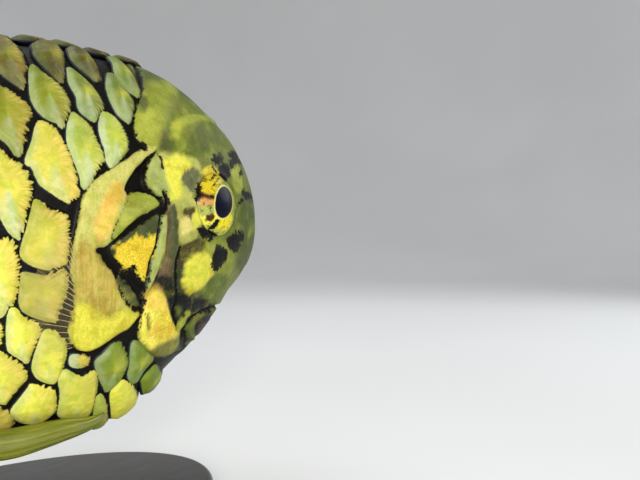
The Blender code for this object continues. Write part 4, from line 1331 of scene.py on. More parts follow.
@dataclass
class Hide:
    """One skin for the whole fish, with the bones of the head raised in it.

    Attributes:
        around: Vertices round the body.
        rings: Number of rings up to each place behind the snout.
        clear: Distances from the eye's centre between which the bones give way to its surround.
        socket: Distances between which the skin sinks into the socket.
        depth: Depth of the socket.
        rim: Height of the bony rim round the eye.
        rim_at: Radius of the rim.
        rim_width: Its width.
    """

    around: int = 420
    rings: tuple[tuple[float, float], ...] = ((0, -0.8), (3, -0.3), (6, 0.6), (126, 56.0), (160, 76.0), (202, 161.0))
    clear: tuple[float, float] = (14.0, 11.0)
    socket: tuple[float, float] = (9.4, 8.4)
    depth: float = 3.2
    rim: float = 0.35
    rim_at: float = 10.0
    rim_width: float = 1.3

    def build(self, eye: EyeShape) -> Piece:
        """Builds the skin round the sockets of the eyes.

        Args:
            eye: Size and seat of the eyes.

        Returns:
            The skin.
        """
        total = int(self.rings[-1][0])
        form = bmesh.new()
        form.loops.layers.uv.new(BAKE_MAP)
        bmesh.ops.create_uvsphere(form, u_segments=self.around, v_segments=total, radius=1.0, calc_uvs=True)
        mesh = mesh_from("skin", form)
        ball = positions(mesh)
        ring = np.arccos(np.clip(ball[:, 2], -1.0, 1.0)) / math.pi * total
        u = np.interp(ring, *np.array(self.rings).T)
        turn = np.degrees(np.arctan2(ball[:, 1], ball[:, 0]))
        turn = np.where(turn < -90.0, turn + 360.0, turn)
        left = turn < 90.0
        angle = BODY.angle_by_share(np.clip(u, 0.0, Body.END), np.abs(turn - 90.0) / 180.0)
        smooth = BODY.point(u, angle)
        look, other = paint_at(smooth, 3.0), paint_at(smooth, 11.0)
        look.paint[left] = other.paint[left]
        behind, above, _ = eye.chart(smooth)
        radius = np.hypot(behind, above)
        near_eye = ease(*self.clear, radius) * (smooth[:, 1] < -10)
        socket = ease(*self.socket, radius)
        surround = self.rim * np.exp(-((radius - self.rim_at) / self.rim_width) ** 2) + 0.2
        level = look.level + (surround - look.level) * near_eye
        level = level * (1 - socket) - self.depth * socket * near_eye
        flank = BODY.point(u, angle, level * ease(-0.2, 3.0, u))
        move_to(mesh, np.where(left[:, None], BODY.world(flank, Side.LEFT), BODY.world(flank)))
        for name in ("paint", "ink", "grain", "streak", "pepper"):
            store(mesh, name, getattr(look, name))
        return add_piece(
            "skin", mesh, [HideFinish().make()],
            ("head", "lower_jaw", "torso", "tail_stalk", "opercle_right", "opercle_left"),
        )


@dataclass(frozen=True)
class Scute:
    """One hard plate of the armour.

    Attributes:
        outline: Its corners as place behind the snout and hundredths of the girth.
        tint: Its main colour.
        warm: How peachy it is along its front edge.
        pale_sheen: How strongly a painted pale bluish sheen lies along its rear edge, and how pale its lower tip is.
        curved: Whether its outline is a smooth curve through the corners.
    """

    outline: Route | Array
    tint: Tint
    warm: float = 0.4
    pale_sheen: float = 0.5
    curved: bool = True


# Plates next to the head and as far as the shoulder fin reaches, the same on both flanks
SCUTES: dict[str, Scute] = {
    # The plates of the back are darker: partly their own colour, partly painted shade
    "back_4": Scute(((85.4, 10), (84.6, 6.5), (82, 5), (79.6, 6.2), (78.3, 10), (78.1, 13.6), (78.3, 15.9),
        (79.6, 19.5), (80.1, 19.6), (82.6, 17.1), (84.7, 14.1)), Tint.SCUTE_OLIVE, warm=0.3, pale_sheen=0.2),
    "back_3": Scute(((74.6, 9.7), (74, 7.5), (72, 6), (69.5, 5.8), (68.2, 6.8), (68, 9.7), (69.2, 15), (70.1, 17.2),
        (70.8, 18.2), (74.6, 12.4)), Tint.SCUTE_BARK, warm=0.15, pale_sheen=0.1),
    "back_2": Scute(((65.8, 10.5), (64.8, 7), (62.4, 5.5), (60.2, 8.5), (59.4, 15), (60.5, 16.6), (61.3, 16.7),
        (62.5, 15.3), (65.4, 12.6)), Tint.SCUTE_BARK, warm=0.1, pale_sheen=0.2),
    "back_1": Scute(((53.6, 10), (54.4, 13.7), (53.7, 16.1), (52.3, 17.8), (50, 19.2), (49.2, 18.5), (48.8, 16.9),
        (48.8, 14.3), (49.2, 12.2), (50, 10), (51.5, 7.5), (53.4, 6.5)), Tint.SCUTE_MOSS, warm=0.1, pale_sheen=0.3),
    "upper_4": Scute(((86.5, 17.1), (85.3, 18.5), (80.9, 21.8), (78.9, 24.9), (80.2, 28.4), (82.2, 33.5), (84.2, 31),
        (86.6, 28.9), (88, 25.6)), Tint.SCUTE_MEADOW, warm=0.6, pale_sheen=0.4),
    "upper_3": Scute(((76.3, 14.1), (75.3, 15.3), (72.1, 18.4), (70.9, 19.9), (69.8, 23.7), (72.2, 28.1),
        (73.4, 27.2), (75.1, 26.4), (76.6, 25.2), (77.6, 23.6), (78.1, 21.3), (77.4, 16.4)), Tint.SCUTE_MEADOW,
        warm=0.25),
    "upper_2": Scute(((67.3, 14.3), (62.9, 18.1), (61.2, 21.4), (61, 22.8), (63.2, 25.4), (64.3, 26.4), (66.9, 24.8),
        (67.5, 23.3), (67.4, 21.5), (68.4, 18.5), (68.2, 16.5)), Tint.SCUTE_MOSS, warm=0.2, pale_sheen=0.6),
    "upper_1": Scute(((57.2, 14.8), (58.4, 18), (58.2, 21.5), (56.9, 24.2), (55, 25.6), (54.2, 25.9), (53.1, 24.4),
        (52.1, 22.1), (52, 20.2), (54.3, 16), (55.2, 13.9), (56.4, 13.6)), Tint.SCUTE_MOSS, warm=0.1),
    "flank_3": Scute(((76.6, 27), (75.2, 27.7), (73.7, 29.1), (71.2, 33.4), (70.6, 35.4), (69.8, 39.4), (69.8, 40.7),
        (70.6, 41.7), (71.7, 42.2), (73.2, 41.9), (76.8, 39.6), (78.2, 38.4), (79.5, 35.5), (80.5, 35.1), (80.6, 34),
        (78.9, 30.7), (78.2, 28.6), (77.3, 27.1)), Tint.SCUTE, warm=0.8, pale_sheen=0.6),
    "flank_2": Scute(((68.9, 25.2), (66.2, 26.9), (64.9, 28.5), (64.1, 30.6), (62.7, 33.4), (63.5, 34.9), (68, 39.8),
        (69, 37.1), (71, 32.1), (70.9, 28.6), (69.5, 25.6)), Tint.SCUTE_LIME, warm=0.2, pale_sheen=0.9),
    "flank_1": Scute(((60.9, 24.2), (59.5, 24.5), (58, 25.4), (56.9, 26.7), (55.8, 31.1), (60.4, 35.3), (61.4, 35),
        (61.9, 33.7), (61.9, 32), (62.4, 30.6), (62.8, 27.6), (61.6, 24.7)), Tint.SCUTE_LIME, warm=0, pale_sheen=0.9),
    "middle_4": Scute(((88.1, 30.6), (87, 31.7), (85.9, 32.4), (84.9, 33.5), (82, 35.3), (80.3, 38.1), (80, 39.9),
        (81.1, 43.9), (82.6, 47.8), (83.1, 48.6), (84.1, 48), (85.2, 46.7), (87.2, 43.2), (88.5, 40.4)), Tint.SCUTE,
        pale_sheen=0.9),
    "middle_3": Scute(((79.1, 41.8), (75.9, 43.7), (72.8, 44.6), (72.4, 45.8), (72.3, 48.1), (72.6, 52.1),
        (72.9, 53.4), (76, 54.1), (77.8, 54), (81.3, 52.7), (82.3, 50.9), (80.8, 46.5), (79.5, 42.4)), Tint.SCUTE,
        warm=0.8, pale_sheen=0.2),
    "low_4": Scute(((89.3, 53.3), (86.8, 49.9), (85.7, 48.7), (84.6, 48.9), (83.6, 50.4), (83.1, 52.9), (83.2, 57.3),
        (84, 60.2), (85, 61), (86.1, 62.8), (87.1, 63.2), (88.2, 62.7), (89.1, 61), (89.6, 57)), Tint.SCUTE_SUN,
        warm=0.8),
    "low_3": Scute(((81.8, 54.9), (78.3, 55.6), (76.3, 55.4), (73.4, 54.4), (72.7, 57.2), (73.3, 60), (74.6, 62.6),
        (75, 63.9), (80.7, 62.2), (82.4, 60.3), (82.2, 55.7)), Tint.SCUTE_TAN, warm=0.3, pale_sheen=0.2),
    "belly_4": Scute(((84.1, 61.5), (83.2, 61.7), (82.3, 62.7), (78.5, 64.7), (78.6, 66.9), (79.7, 69.5),
        (80.3, 71.5), (81.3, 70.8), (83.8, 69.6), (84.4, 68.8), (84.8, 65.8), (84.6, 62.5)), Tint.SCUTE_SUN, warm=0.7,
        pale_sheen=0.6),
    "belly_3": Scute(((75.2, 65.8), (72.8, 67.6), (72.2, 68.9), (72.2, 71.5), (73, 75), (73.5, 75.8), (74.7, 75.9),
        (77.4, 74.7), (78.8, 72.7), (78.6, 70.3), (77.8, 67.4), (76.9, 65.6)), Tint.SCUTE_SUN, warm=0.1, pale_sheen=0.4),
    "pearl": Scute(((70.6, 70.9), (69.6, 70.7), (66.6, 71.4), (66.1, 72.3), (66.5, 72.9), (68.1, 73.1), (69.8, 72.8),
        (70.6, 72)), Tint.SCUTE_TAN, warm=0.9, pale_sheen=1),
    "belly_2": Scute(((71.5, 73.6), (68.9, 75), (67.2, 75.2), (65.7, 74.7), (64.2, 74.7), (63.3, 75.8), (62.7, 79.8),
        (62.3, 84), (62.7, 86), (63.7, 87.5), (66.5, 87.2), (69.5, 85.1), (70.9, 83.4), (71.5, 78.6), (72.6, 75.4),
        (72.3, 74.1)), Tint.SCUTE_SUN, warm=0.2, pale_sheen=0.3),
    "keel_3": Scute(((78.5, 76.2), (74.1, 77.6), (73.2, 78.3), (72.2, 81.7), (72.3, 83.2), (73.3, 84.5), (74.6, 85.5),
        (76.3, 85.8), (78.6, 85.3), (80.4, 84.1), (81.9, 82.4), (81.4, 80.5), (79.3, 77.1)), Tint.SCUTE_SUN,
        warm=0.6),
    "keel_4": Scute(((88.8, 69.4), (84.7, 70.5), (81.5, 72.4), (80.1, 74), (81.3, 76.2), (82.3, 77.5), (83.6, 79.9),
        (84.2, 80.5), (85.6, 79.8), (87.2, 78.3), (88.4, 75.7), (89, 72.4)), Tint.SCUTE_SUN, warm=0.6, pale_sheen=0.3),
    "foot_4": Scute(((88.2, 80.6), (86.8, 80.6), (85.2, 81.1), (82.5, 82.9), (81.1, 85.3), (82.5, 88.1), (84.3, 89.2),
        (86.7, 88.4), (88.4, 84.9)), Tint.SCUTE_TAN, warm=0.5, pale_sheen=0.2),
    "throat_3": Scute(((58.9, 69.5), (57.5, 70.6), (55.3, 74.3), (55.2, 75.6), (56.3, 78.4), (58.3, 79.9),
        (59.3, 80.4), (60.3, 79.1), (64.1, 73.1), (62.2, 71.3), (59.8, 69.5)), Tint.THROAT, warm=0, pale_sheen=0.4),
    "throat_2": Scute(((54.4, 70.4), (53, 71.1), (51, 72.5), (46.9, 77.1), (47.4, 78.1), (49.1, 79.2), (50.2, 81.1),
        (51, 81.5), (52.2, 80.5), (53.4, 78.9), (54, 77.3), (53.9, 76), (54.6, 72)), Tint.THROAT, warm=0, pale_sheen=0.3),
    "throat_1": Scute(((46.5, 80.7), (45.2, 80.3), (43.2, 82.9), (40.5, 87.5), (41.5, 91.5), (44.5, 90), (47.8, 83.7),
        (48.4, 81.9)), Tint.THROAT, warm=0, pale_sheen=0),
    "keel_1": Scute(((57, 79.3), (55.8, 78.9), (53.8, 80.1), (51.6, 82.4), (48.6, 87), (47.6, 90.5), (49.5, 92.5),
        (52.5, 92.5), (54.6, 89.5), (56.7, 84.5), (57.6, 82.2), (57.8, 80.4)), Tint.SCUTE_SUN, warm=0.2, pale_sheen=0),
    "keel_2": Scute(((61.2, 80.7), (58.6, 84.1), (57.7, 86.3), (55.5, 91.5), (54.5, 95), (57, 96), (59.3, 92),
        (60.4, 87.7), (61.3, 84.7), (61.6, 82.1)), Tint.SCUTE_LIME, warm=0.7, pale_sheen=0),
    "belly_5": Scute(((86.3, 65), (88, 64.6), (89.8, 65.2), (90.4, 67), (89.4, 68.6), (87.4, 68.8), (86.2, 67.8)),
        Tint.SCUTE_SUN, warm=0.3),
    "sole_2": Scute(((63.5, 90.5), (66.5, 89.3), (70, 87.5), (72, 86.2), (73.5, 87.5), (73.5, 93.5), (71.5, 98.5),
        (66, 99), (62, 98.5), (61.5, 94)), Tint.SCUTE_SUN, warm=0.2, pale_sheen=0.3),
    "sole_3": Scute(((75.5, 88.5), (78.5, 87.5), (80.2, 88.5), (82, 91.5), (83, 95), (81.5, 99), (75.5, 99),
        (74.8, 94)), Tint.SCUTE_SUN, warm=0.2, pale_sheen=0.3),
    "sole_4": Scute(((85, 92.5), (87.5, 90.5), (90, 90), (91.5, 93), (90.5, 98.5), (85, 99), (83.8, 96)),
        Tint.SCUTE_SUN, warm=0.2, pale_sheen=0.3),
}


@dataclass
class Armour:
    """The scutes: hard plates that tile the body behind the head, the same on both flanks.

    Attributes:
        lean: Slant of the plates of the rear body.
        stretch: How much taller than long they are, as the weight of girth against length.
        girth: Nominal girth that their tiling is laid out on.
        rows: Plates in one column.
        margin: Half the width of the black between two of them.
        rise: Height of a plate at its shoulder.
        crown: Further height in the middle.
        swell: Height of the soft swelling along the middle.
        keel: Height of the sharp keel that runs to the rear edge.
        skirt: How far the dark rim drops at its outer edge.
        pad: How much the plates thicken along the back and under the throat.
        sunk: Depth of the underside under the skin.
        spokes: Vertices round a plate.
        first_column: Place of their first column.
        column_step: Distance to the next column.
        column_shrink: How much closer each further column is.
    """

    lean: float = 0.169
    stretch: float = 0.288
    girth: float = 130.0
    rows: float = 8.2
    margin: float = 0.5
    rise: float = 0.9
    crown: float = 0.4
    swell: float = 0.25
    keel: float = 0.35
    skirt: float = 0.45
    pad: float = 1.2
    sunk: float = 1.2
    spokes: int = 72
    first_column: float = 94.6
    column_step: float = 8.1
    column_shrink: float = 0.955

    # Rings of a plate: shares of its outline, then distances beyond it for the dark rim
    INNER = (0.2, 0.38, 0.54, 0.68, 0.79, 0.87, 0.925, 0.965, 1.0)
    OUTER = (0.25, 0.5, 0.75, 1.0)
    # Colours of the darker plates of the back, partly their own colour and partly painted shade, which get less of
    # the bright core in the middle
    SHADED_BACK_TINTS = (Tint.SCUTE_BARK, Tint.SCUTE_DUSK, Tint.SCUTE_MEADOW, Tint.SCUTE_OLIVE)
    # Plates along the back: where they stand, and their outline round that place
    RIDGE_PLACES = (46.0, 55.0, 64.0, 73.0, 82.0, 90.4)
    RIDGE = ((-4.1, 1.2), (-2, 0.4), (3.4, 0.4), (4, 2), (2.5, 4), (-1.5, 4.4), (-4, 3.4))

    def scutes(self) -> list[Scute]:
        """All the plates of a flank: the shaped ones, a row along the back and the tiled rear body.

        Returns:
            The plates, in the order that numbers them.
        """
        found = list(SCUTES.values())
        for place in self.RIDGE_PLACES:
            # The ridge plates along the back are darkest: partly their own colour, partly painted shade
            found.append(Scute(tuple((place + u, share) for u, share in self.RIDGE), Tint.SCUTE_DUSK, 0.1, 0.0))
        fixed = [tuple(np.array(scute.outline).mean(0) / (1.0, 100.0)) for scute in found]
        free = []
        place, step, column = self.first_column, self.column_step, 1
        while place < Body.END:
            share = (0.3 + 0.5 * (column % 2)) / self.rows
            while share < 1.0:
                free.append((place, share))
                share += 1.0 / self.rows
            place += step
            step *= self.column_shrink
            column += 1
        for seed in free:
            cell = self.cell(seed, fixed + free)
            if len(cell) > 2:
                outline = self.rounded(cell) / (1.0, self.girth / 100.0)
                found.append(Scute(outline, self.row_tint(seed[1]), 0.5, 0.5, False))
        return found

    @staticmethod
    def row_tint(share: float) -> Tint:
        """Main colour of a plate of the rear body, by its share of the girth: darker towards the back, partly the
        fish's own darker back and partly painted shade.
        """
        rows = ((0.10, Tint.SCUTE_OLIVE), (0.20, Tint.SCUTE_MEADOW), (0.34, Tint.SCUTE_LIME), (0.62, Tint.SCUTE))
        return next((tint for limit, tint in rows if share < limit), Tint.SCUTE_SUN)

    def cell(self, seed: tuple[float, float], seeds: Iterable[tuple[float, float]]) -> Array:
        """Outline of the part of the flank that is nearest to a seed, less the black margin.

        Args:
            seed: The cell's own seed.
            seeds: All seeds.

        Returns:
            The corners, as place and nominal girth.
        """
        metric = np.array(((1.0, self.lean), (self.lean, self.stretch)))
        here = np.array((seed[0], seed[1] * self.girth))
        first, last = 30.0, Body.END - 1.0
        corners = [np.array(c) for c in ((first, 0.0), (last, 0.0), (last, self.girth), (first, self.girth))]
        for other in seeds:
            there = np.array((other[0], other[1] * self.girth))
            if other is seed or np.linalg.norm(there - here) > 60.0:
                continue
            way = metric @ (there - here)
            middle = (here + there) / 2 - way / np.linalg.norm(way) * self.margin
            kept = []
            for one, two in zip(corners, corners[1:] + corners[:1]):
                side_one, side_two = (one - middle) @ way, (two - middle) @ way
                if side_one <= 0:
                    kept.append(one)
                if side_one * side_two < 0:
                    kept.append(one + (two - one) * side_one / (side_one - side_two))
            corners = kept
            if len(corners) < 3:
                return np.empty((0, 2))
        return np.array(corners)

    @staticmethod
    def rounded(corners: Array, cut: float = 0.11, times: int = 3) -> Array:
        """Cuts the corners of an outline, leaving its long sides.

        Args:
            corners: The outline.
            cut: Share of a side that is cut off at each end.
            times: How often.

        Returns:
            The new outline.
        """
        for _ in range(times):
            after = np.roll(corners, -1, 0)
            corners = np.stack((corners + (after - corners) * cut, after + (corners - after) * cut), 1).reshape(-1, 2)
        return corners

    def resampled(self, outline: Array) -> Array:
        """Points spread evenly along a closed outline.

        Args:
            outline: The outline.

        Returns:
            As many points as a plate has spokes.
        """
        closed = np.concatenate((outline, outline[:1]))
        run = np.concatenate(((0.0,), np.cumsum(np.linalg.norm(np.diff(closed, axis=0), axis=1))))
        at = np.linspace(0.0, run[-1], self.spokes, endpoint=False)
        return np.stack((np.interp(at, run, closed[:, 0]), np.interp(at, run, closed[:, 1])), 1)

    def layers(self, leaf: Array) -> Array:
        """The middle of a plate, rings out to its outline, and rings beyond that for its dark rim.

        Args:
            leaf: Points of the outline.

        Returns:
            The points in rows, from the middle outwards.
        """
        centre = leaf.mean(0)
        along = np.roll(leaf, -1, 0) - np.roll(leaf, 1, 0)
        out = np.stack((along[:, 1], -along[:, 0]), 1)
        out *= math.copysign(1.0, float((out * (leaf - centre)).sum()))
        out = out + np.roll(out, 1, 0) + np.roll(out, -1, 0)
        out /= np.linalg.norm(out, axis=1, keepdims=True)
        inner = [centre + (leaf - centre) * share for share in self.INNER]
        return np.concatenate([centre[None], *inner, *(leaf + out * gap for gap in self.OUTER)])

    def plate(self, number: int, scute: Scute) -> dict[str, Array]:
        """Lays out one plate.

        Args:
            number: Its number, which varies its colour.
            scute: Its outline and look.

        Returns:
            Its vertices on the right flank with what is stored on each.
        """
        outline = closed_curve(scute.outline, 5) if scute.curved else np.array(scute.outline)
        girth = BODY.girth(float(outline[:, 0].mean()))
        leaf = self.resampled(outline * (1.0, girth / 100.0))
        flat = self.layers(leaf)
        edge = -distance_to_outline(flat, leaf)
        reach = max(float(edge.max()), 0.5)
        small = min(1.0, reach / 3.2)
        away = flat - flat[0]
        size = np.sqrt(np.maximum((away[:, 0] + away[:, 1] * 0.25) ** 2 + (away[:, 1] * 0.5) ** 2, 1e-6))
        fore = np.clip(-(away[:, 0] + away[:, 1] * 0.12) / size, -1.0, 1.0)
        low = np.clip(away[:, 1] / (size * 2.2), -1.0, 1.0)
        across = away[:, 1] * 0.9 - away[:, 0] * 0.15
        middle = np.exp(-(across / (reach * 0.5)) ** 2) * ease(reach * 1.8, -reach * 0.4, np.abs(away[:, 0]))
        ridge = np.exp(-(across / 0.7) ** 2) * ease(-0.5, reach, away[:, 0])
        height = self.rise * small * ease(-0.6, 0.8, edge) + self.crown * small * ease(0.0, reach, edge)
        height += small * (self.swell * middle + self.keel * ridge) * ease(0.0, 1.5, edge)
        height -= self.skirt * ease(-0.5, -0.95, edge)
        place, share = flat[:, 0], flat[:, 1] / girth
        height += self.pad * (ease(0.17, 0.05, share) + ease(0.80, 0.92, share) * ease(66.0, 58.0, place))
        points = BODY.point(place, BODY.angle_by_share(place, share), height)
        under = BODY.point(place[:1], BODY.angle_by_share(place[:1], share[:1]), np.array([-self.sunk]))
        beam = flat - (flat[0] + np.array((reach * 0.9, 0.0)))
        fan = np.stack((np.arctan2(beam[:, 1], -beam[:, 0]) * 14.0, np.hypot(beam[:, 0], beam[:, 1]) * 0.30,
                        np.full(len(flat), number * 3.7)), 1)
        chart = np.stack(((place - 40.0) / 122.0, share), 1)
        front = ease(-0.3, 0.6, fore) * ease(reach * 1.3, 0.3, edge)
        rear = ease(0.1, 0.7, -fore)
        colour = np.tile(np.array(scute.tint.rgba()), (len(flat), 1))
        luck = np.random.default_rng(500 + number).random(3)
        colour = colour * (0.93 + 0.14 * luck[0])
        colour = toward(colour, Tint.SCUTE_MOSS, (0.28 * luck[1]) * ease(0.9, -0.2, low))
        # Brighter yellow core along the middle: partly the plate's own colour, partly a painted highlight on its
        # swelling
        colour = toward(colour, Tint.LEMON, middle * (0.25 if scute.tint in self.SHADED_BACK_TINTS else 0.5) * (1 - 0.6 * rear))
        colour = toward(colour, Tint.SCUTE_PEACH, front * scute.warm * 0.6)
        # Painted pale bluish sheen along the rear edge, and a paler lower tip
        colour = toward(colour, Tint.SCUTE_COOL, scute.pale_sheen * np.maximum(
            0.8 * ease(1.7, 0.1, edge) * rear, 0.8 * ease(0.35, 0.9, low) * ease(0.7, 0.0, fore)))
        return {
            "points": np.concatenate((points, under)),
            "edge": np.append(edge, -2.0),
            "fore": np.append(front * (1 - 0.4 * ease(0.50, 0.62, share)), 0.0),
            "rear": np.append(rear * 0.9, 0.0),
            "fan": np.concatenate((fan, fan[:1])),
            "paint": np.concatenate((colour, colour[:1])),
            "chart": np.concatenate((chart, chart[:1])),
        }

    def build(self, side: Side, finish: Material) -> Piece:
        """Builds the plates of one flank as a single piece.

        Args:
            side: The flank.
            finish: Material of the plates.

        Returns:
            The piece.
        """
        plates = [self.plate(number, scute) for number, scute in enumerate(self.scutes())]
        mesh = shells_mesh("scutes", plates, self.spokes, side)
        return add_piece(f"scutes_{side.name.lower()}", mesh, [finish])


@dataclass
class Eye:
    """One eye with its iris.

    Attributes:
        shape: Its size and seat.
        pupil: Radii of the pupil, along and up.
        pupil_at: Centre of the pupil behind and above the eye's centre.
        lean: How far the top of the pupil leans forward.
    """

    shape: EyeShape
    pupil: tuple[float, float] = (4.1, 4.75)
    pupil_at: tuple[float, float] = (0.45, 0.55)
    lean: float = 0.28

    # Patches of the iris, behind and above the eye's centre, with how softly they end
    PATCHES = (
        (((9.9, 9.9), (9.9, 4.4), (7, 2.6), (5.2, 1.8), (3.6, 3.9), (0.9, 6.2), (-1.2, 7.6), (-0.3, 9.9)),
         Tint.IRIS_GOLD, 0.8),
        (((9.9, -2.6), (4.4, -2.6), (2.6, -4.4), (4.4, -6.2), (9.9, -5.6)), Tint.LEMON, 0.8),
        (((9.9, 2.8), (4.9, 2.6), (4.7, 1), (9.9, 1)), Tint.IRIS_BROWN, 0.5),
        (((9.9, 1.1), (4.7, 0.9), (4.6, -1.1), (9.9, -1.1)), Tint.IRIS_ROSE, 0.6),
        (((9.9, -0.8), (5.6, -0.8), (4.5, -2.5), (6.5, -3.4), (9.9, -2.8)), Tint.IRIS_PEARL, 0.8),
        (((6.9, -3.6), (5.9, -3.1), (4.6, -3.7), (4.8, -4.8), (6, -5.2), (6.8, -4.8)), Tint.IRIS_BROWN, 0.4),
        (((3, -5.1), (0.5, -3.9), (-2.3, -3), (-3.6, -3.1), (-4.6, -5.4), (-2.3, -7.8), (1.5, -8.1), (2.9, -6.7)),
         Tint.IRIS_SUN, 0.8),
        (((3, -7.4), (-2.3, -8), (-4.8, -5.9), (-6.6, -7), (-3, -9.9), (2, -9.9)), Tint.LEAF, 0.8),
    )
    # Black marks on the iris
    MARKS = (
        ((9.9, 6.2), (8.1, 5.9), (7.4, 5.6), (7.8, 3.8), (8.5, 1.8), (9.1, 0.4), (9.9, 0.2)),
        ((-1.2, 9.4), (1.7, 8.1), (4, 6.8), (6.1, 6.4), (6.2, 6.6), (4.2, 7.1), (2, 8.4), (-0.8, 9.8)),
        ((0.2, 7.6), (2.4, 6.1), (4.4, 4.9), (4.6, 5), (2.8, 6.3), (0.6, 7.8)),
        ((-6.2, 6.9), (-7.6, 4.6), (-8.4, 2), (-8.6, -1), (-8, -4), (-6.6, -6.2), (-7.1, -6.6), (-8.7, -4.2),
         (-9.3, -1), (-9.1, 2.2), (-8.2, 5), (-6.7, 7.3)),
        ((-2.6, 8.9), (-2.5, 6.9), (-4.4, 7.3), (-5.8, 8.2), (-4, 9.9)),
        ((4.6, -5.3), (3.5, -4.5), (2.5, -4.8), (3, -6.5), (4.2, -7.6), (5.3, -7.2)),
        ((9.9, -5.9), (6.3, -7), (4.2, -7.6), (0.4, -9.4), (4, -10.6), (9.9, -9)),
        ((-9.9, 2.6), (-7.6, -0.8), (-5.8, -2.8), (-5.7, -4.2), (-6.2, -4.2), (-6.3, -3), (-8, -1.3), (-9.9, 1.6)),
    )

    def build(self, side: Side, finish: Material) -> Piece:
        """Builds the eye of one side in the place of its solid.

        Args:
            side: The side.
            finish: Material of the eye.

        Returns:
            The eye.
        """
        centre, rear, up, out = self.shape.axes()
        form = bmesh.new()
        form.loops.layers.uv.new(BAKE_MAP)
        bmesh.ops.create_uvsphere(form, u_segments=160, v_segments=128, radius=1.0, calc_uvs=True)
        mesh = mesh_from("eye", form)
        ball = positions(mesh)
        flat = ball[:, :2] * self.shape.across
        points = centre + flat[:, :1] * rear + flat[:, 1:] * up + ball[:, 2:] * self.shape.along * out
        move_to(mesh, BODY.world(points, side))
        colour = np.tile(np.array(Tint.OLIVE_LIGHT.rgba()), (len(ball), 1))
        wander = fractal(points, 2.0, 21.0 + side.value)
        for outline, tint, soft in self.PATCHES:
            distance = distance_to_outline(flat, closed_curve(outline)) + 0.6 * wander
            colour = toward(colour, tint, ease(soft, -soft, distance))
        ink = np.min([distance_to_outline(flat, closed_curve(outline)) for outline in self.MARKS], 0)
        away = (flat - self.pupil_at) / self.pupil
        away[:, 0] += away[:, 1] * self.lean
        radius = np.hypot(away[:, 0], away[:, 1])
        colour = toward(colour, Tint.PUPIL_RING, ease(1.12, 1.07, radius))
        colour = toward(colour, Tint.PUPIL, ease(1.03, 0.98, radius))
        store(mesh, "paint", colour)
        store(mesh, "iris", ease(1.07, 1.16, radius))
        store(mesh, "ink", np.minimum(ink, 2.0))
        name = side.name.lower()
        made = add_piece(f"eye_glass_{name}", mesh, [finish], (f"eye_{name}",))
        fix_normals(made)
        return made


def fix_normals(piece: Piece) -> None:
    """Turns the faces of a closed piece outwards.

    Args:
        piece: The piece.
    """
    form = bmesh.new()
    form.from_mesh(piece.data)
    bmesh.ops.recalc_face_normals(form, faces=form.faces)
    form.to_mesh(piece.data)
    form.free()


@dataclass(frozen=True)
class Rod:
    """A round tapering rod along a route of places in the fish's terms."""

    route: Array
    radii: Array


def rods_mesh(name: str, rods: Sequence[Rod], sides: int, side: Side = Side.RIGHT) -> Mesh:
    """Joins many tapering rods into one mesh, with a chart along and around each.

    Args:
        name: Name of the mesh.
        rods: The rods.
        sides: Faces round each rod.
        side: Flank they lie on.

    Returns:
        The mesh, closed at both ends of every rod.
    """
    shells = []
    turns = np.arange(sides) * math.tau / sides
    for number, rod in enumerate(rods):
        ahead = np.gradient(rod.route, axis=0)
        ahead /= np.linalg.norm(ahead, axis=1, keepdims=True)
        upright = np.cross(ahead, (0.0, 1.0, 0.0))
        upright /= np.linalg.norm(upright, axis=1, keepdims=True)
        across = np.cross(upright, ahead)
        ring = np.cos(turns)[None, :, None] * across[:, None] + np.sin(turns)[None, :, None] * upright[:, None]
        body = rod.route[:, None] + rod.radii[:, None, None] * ring
        run = np.concatenate(((0.0,), np.cumsum(np.linalg.norm(np.diff(rod.route, axis=0), axis=1))))
        along, around = np.repeat(run, sides), np.tile(turns, len(run))
        fan = np.stack((np.cos(around) * 3.0 + number * 7.0, np.sin(around) * 3.0, along * 0.06), 1)
        shells.append({
            "points": np.concatenate((rod.route[:1], body.reshape(-1, 3), rod.route[-1:])),
            "fan": np.concatenate((fan[:1], fan, fan[-1:])),
        })
    return shells_mesh(name, shells, sides, side)


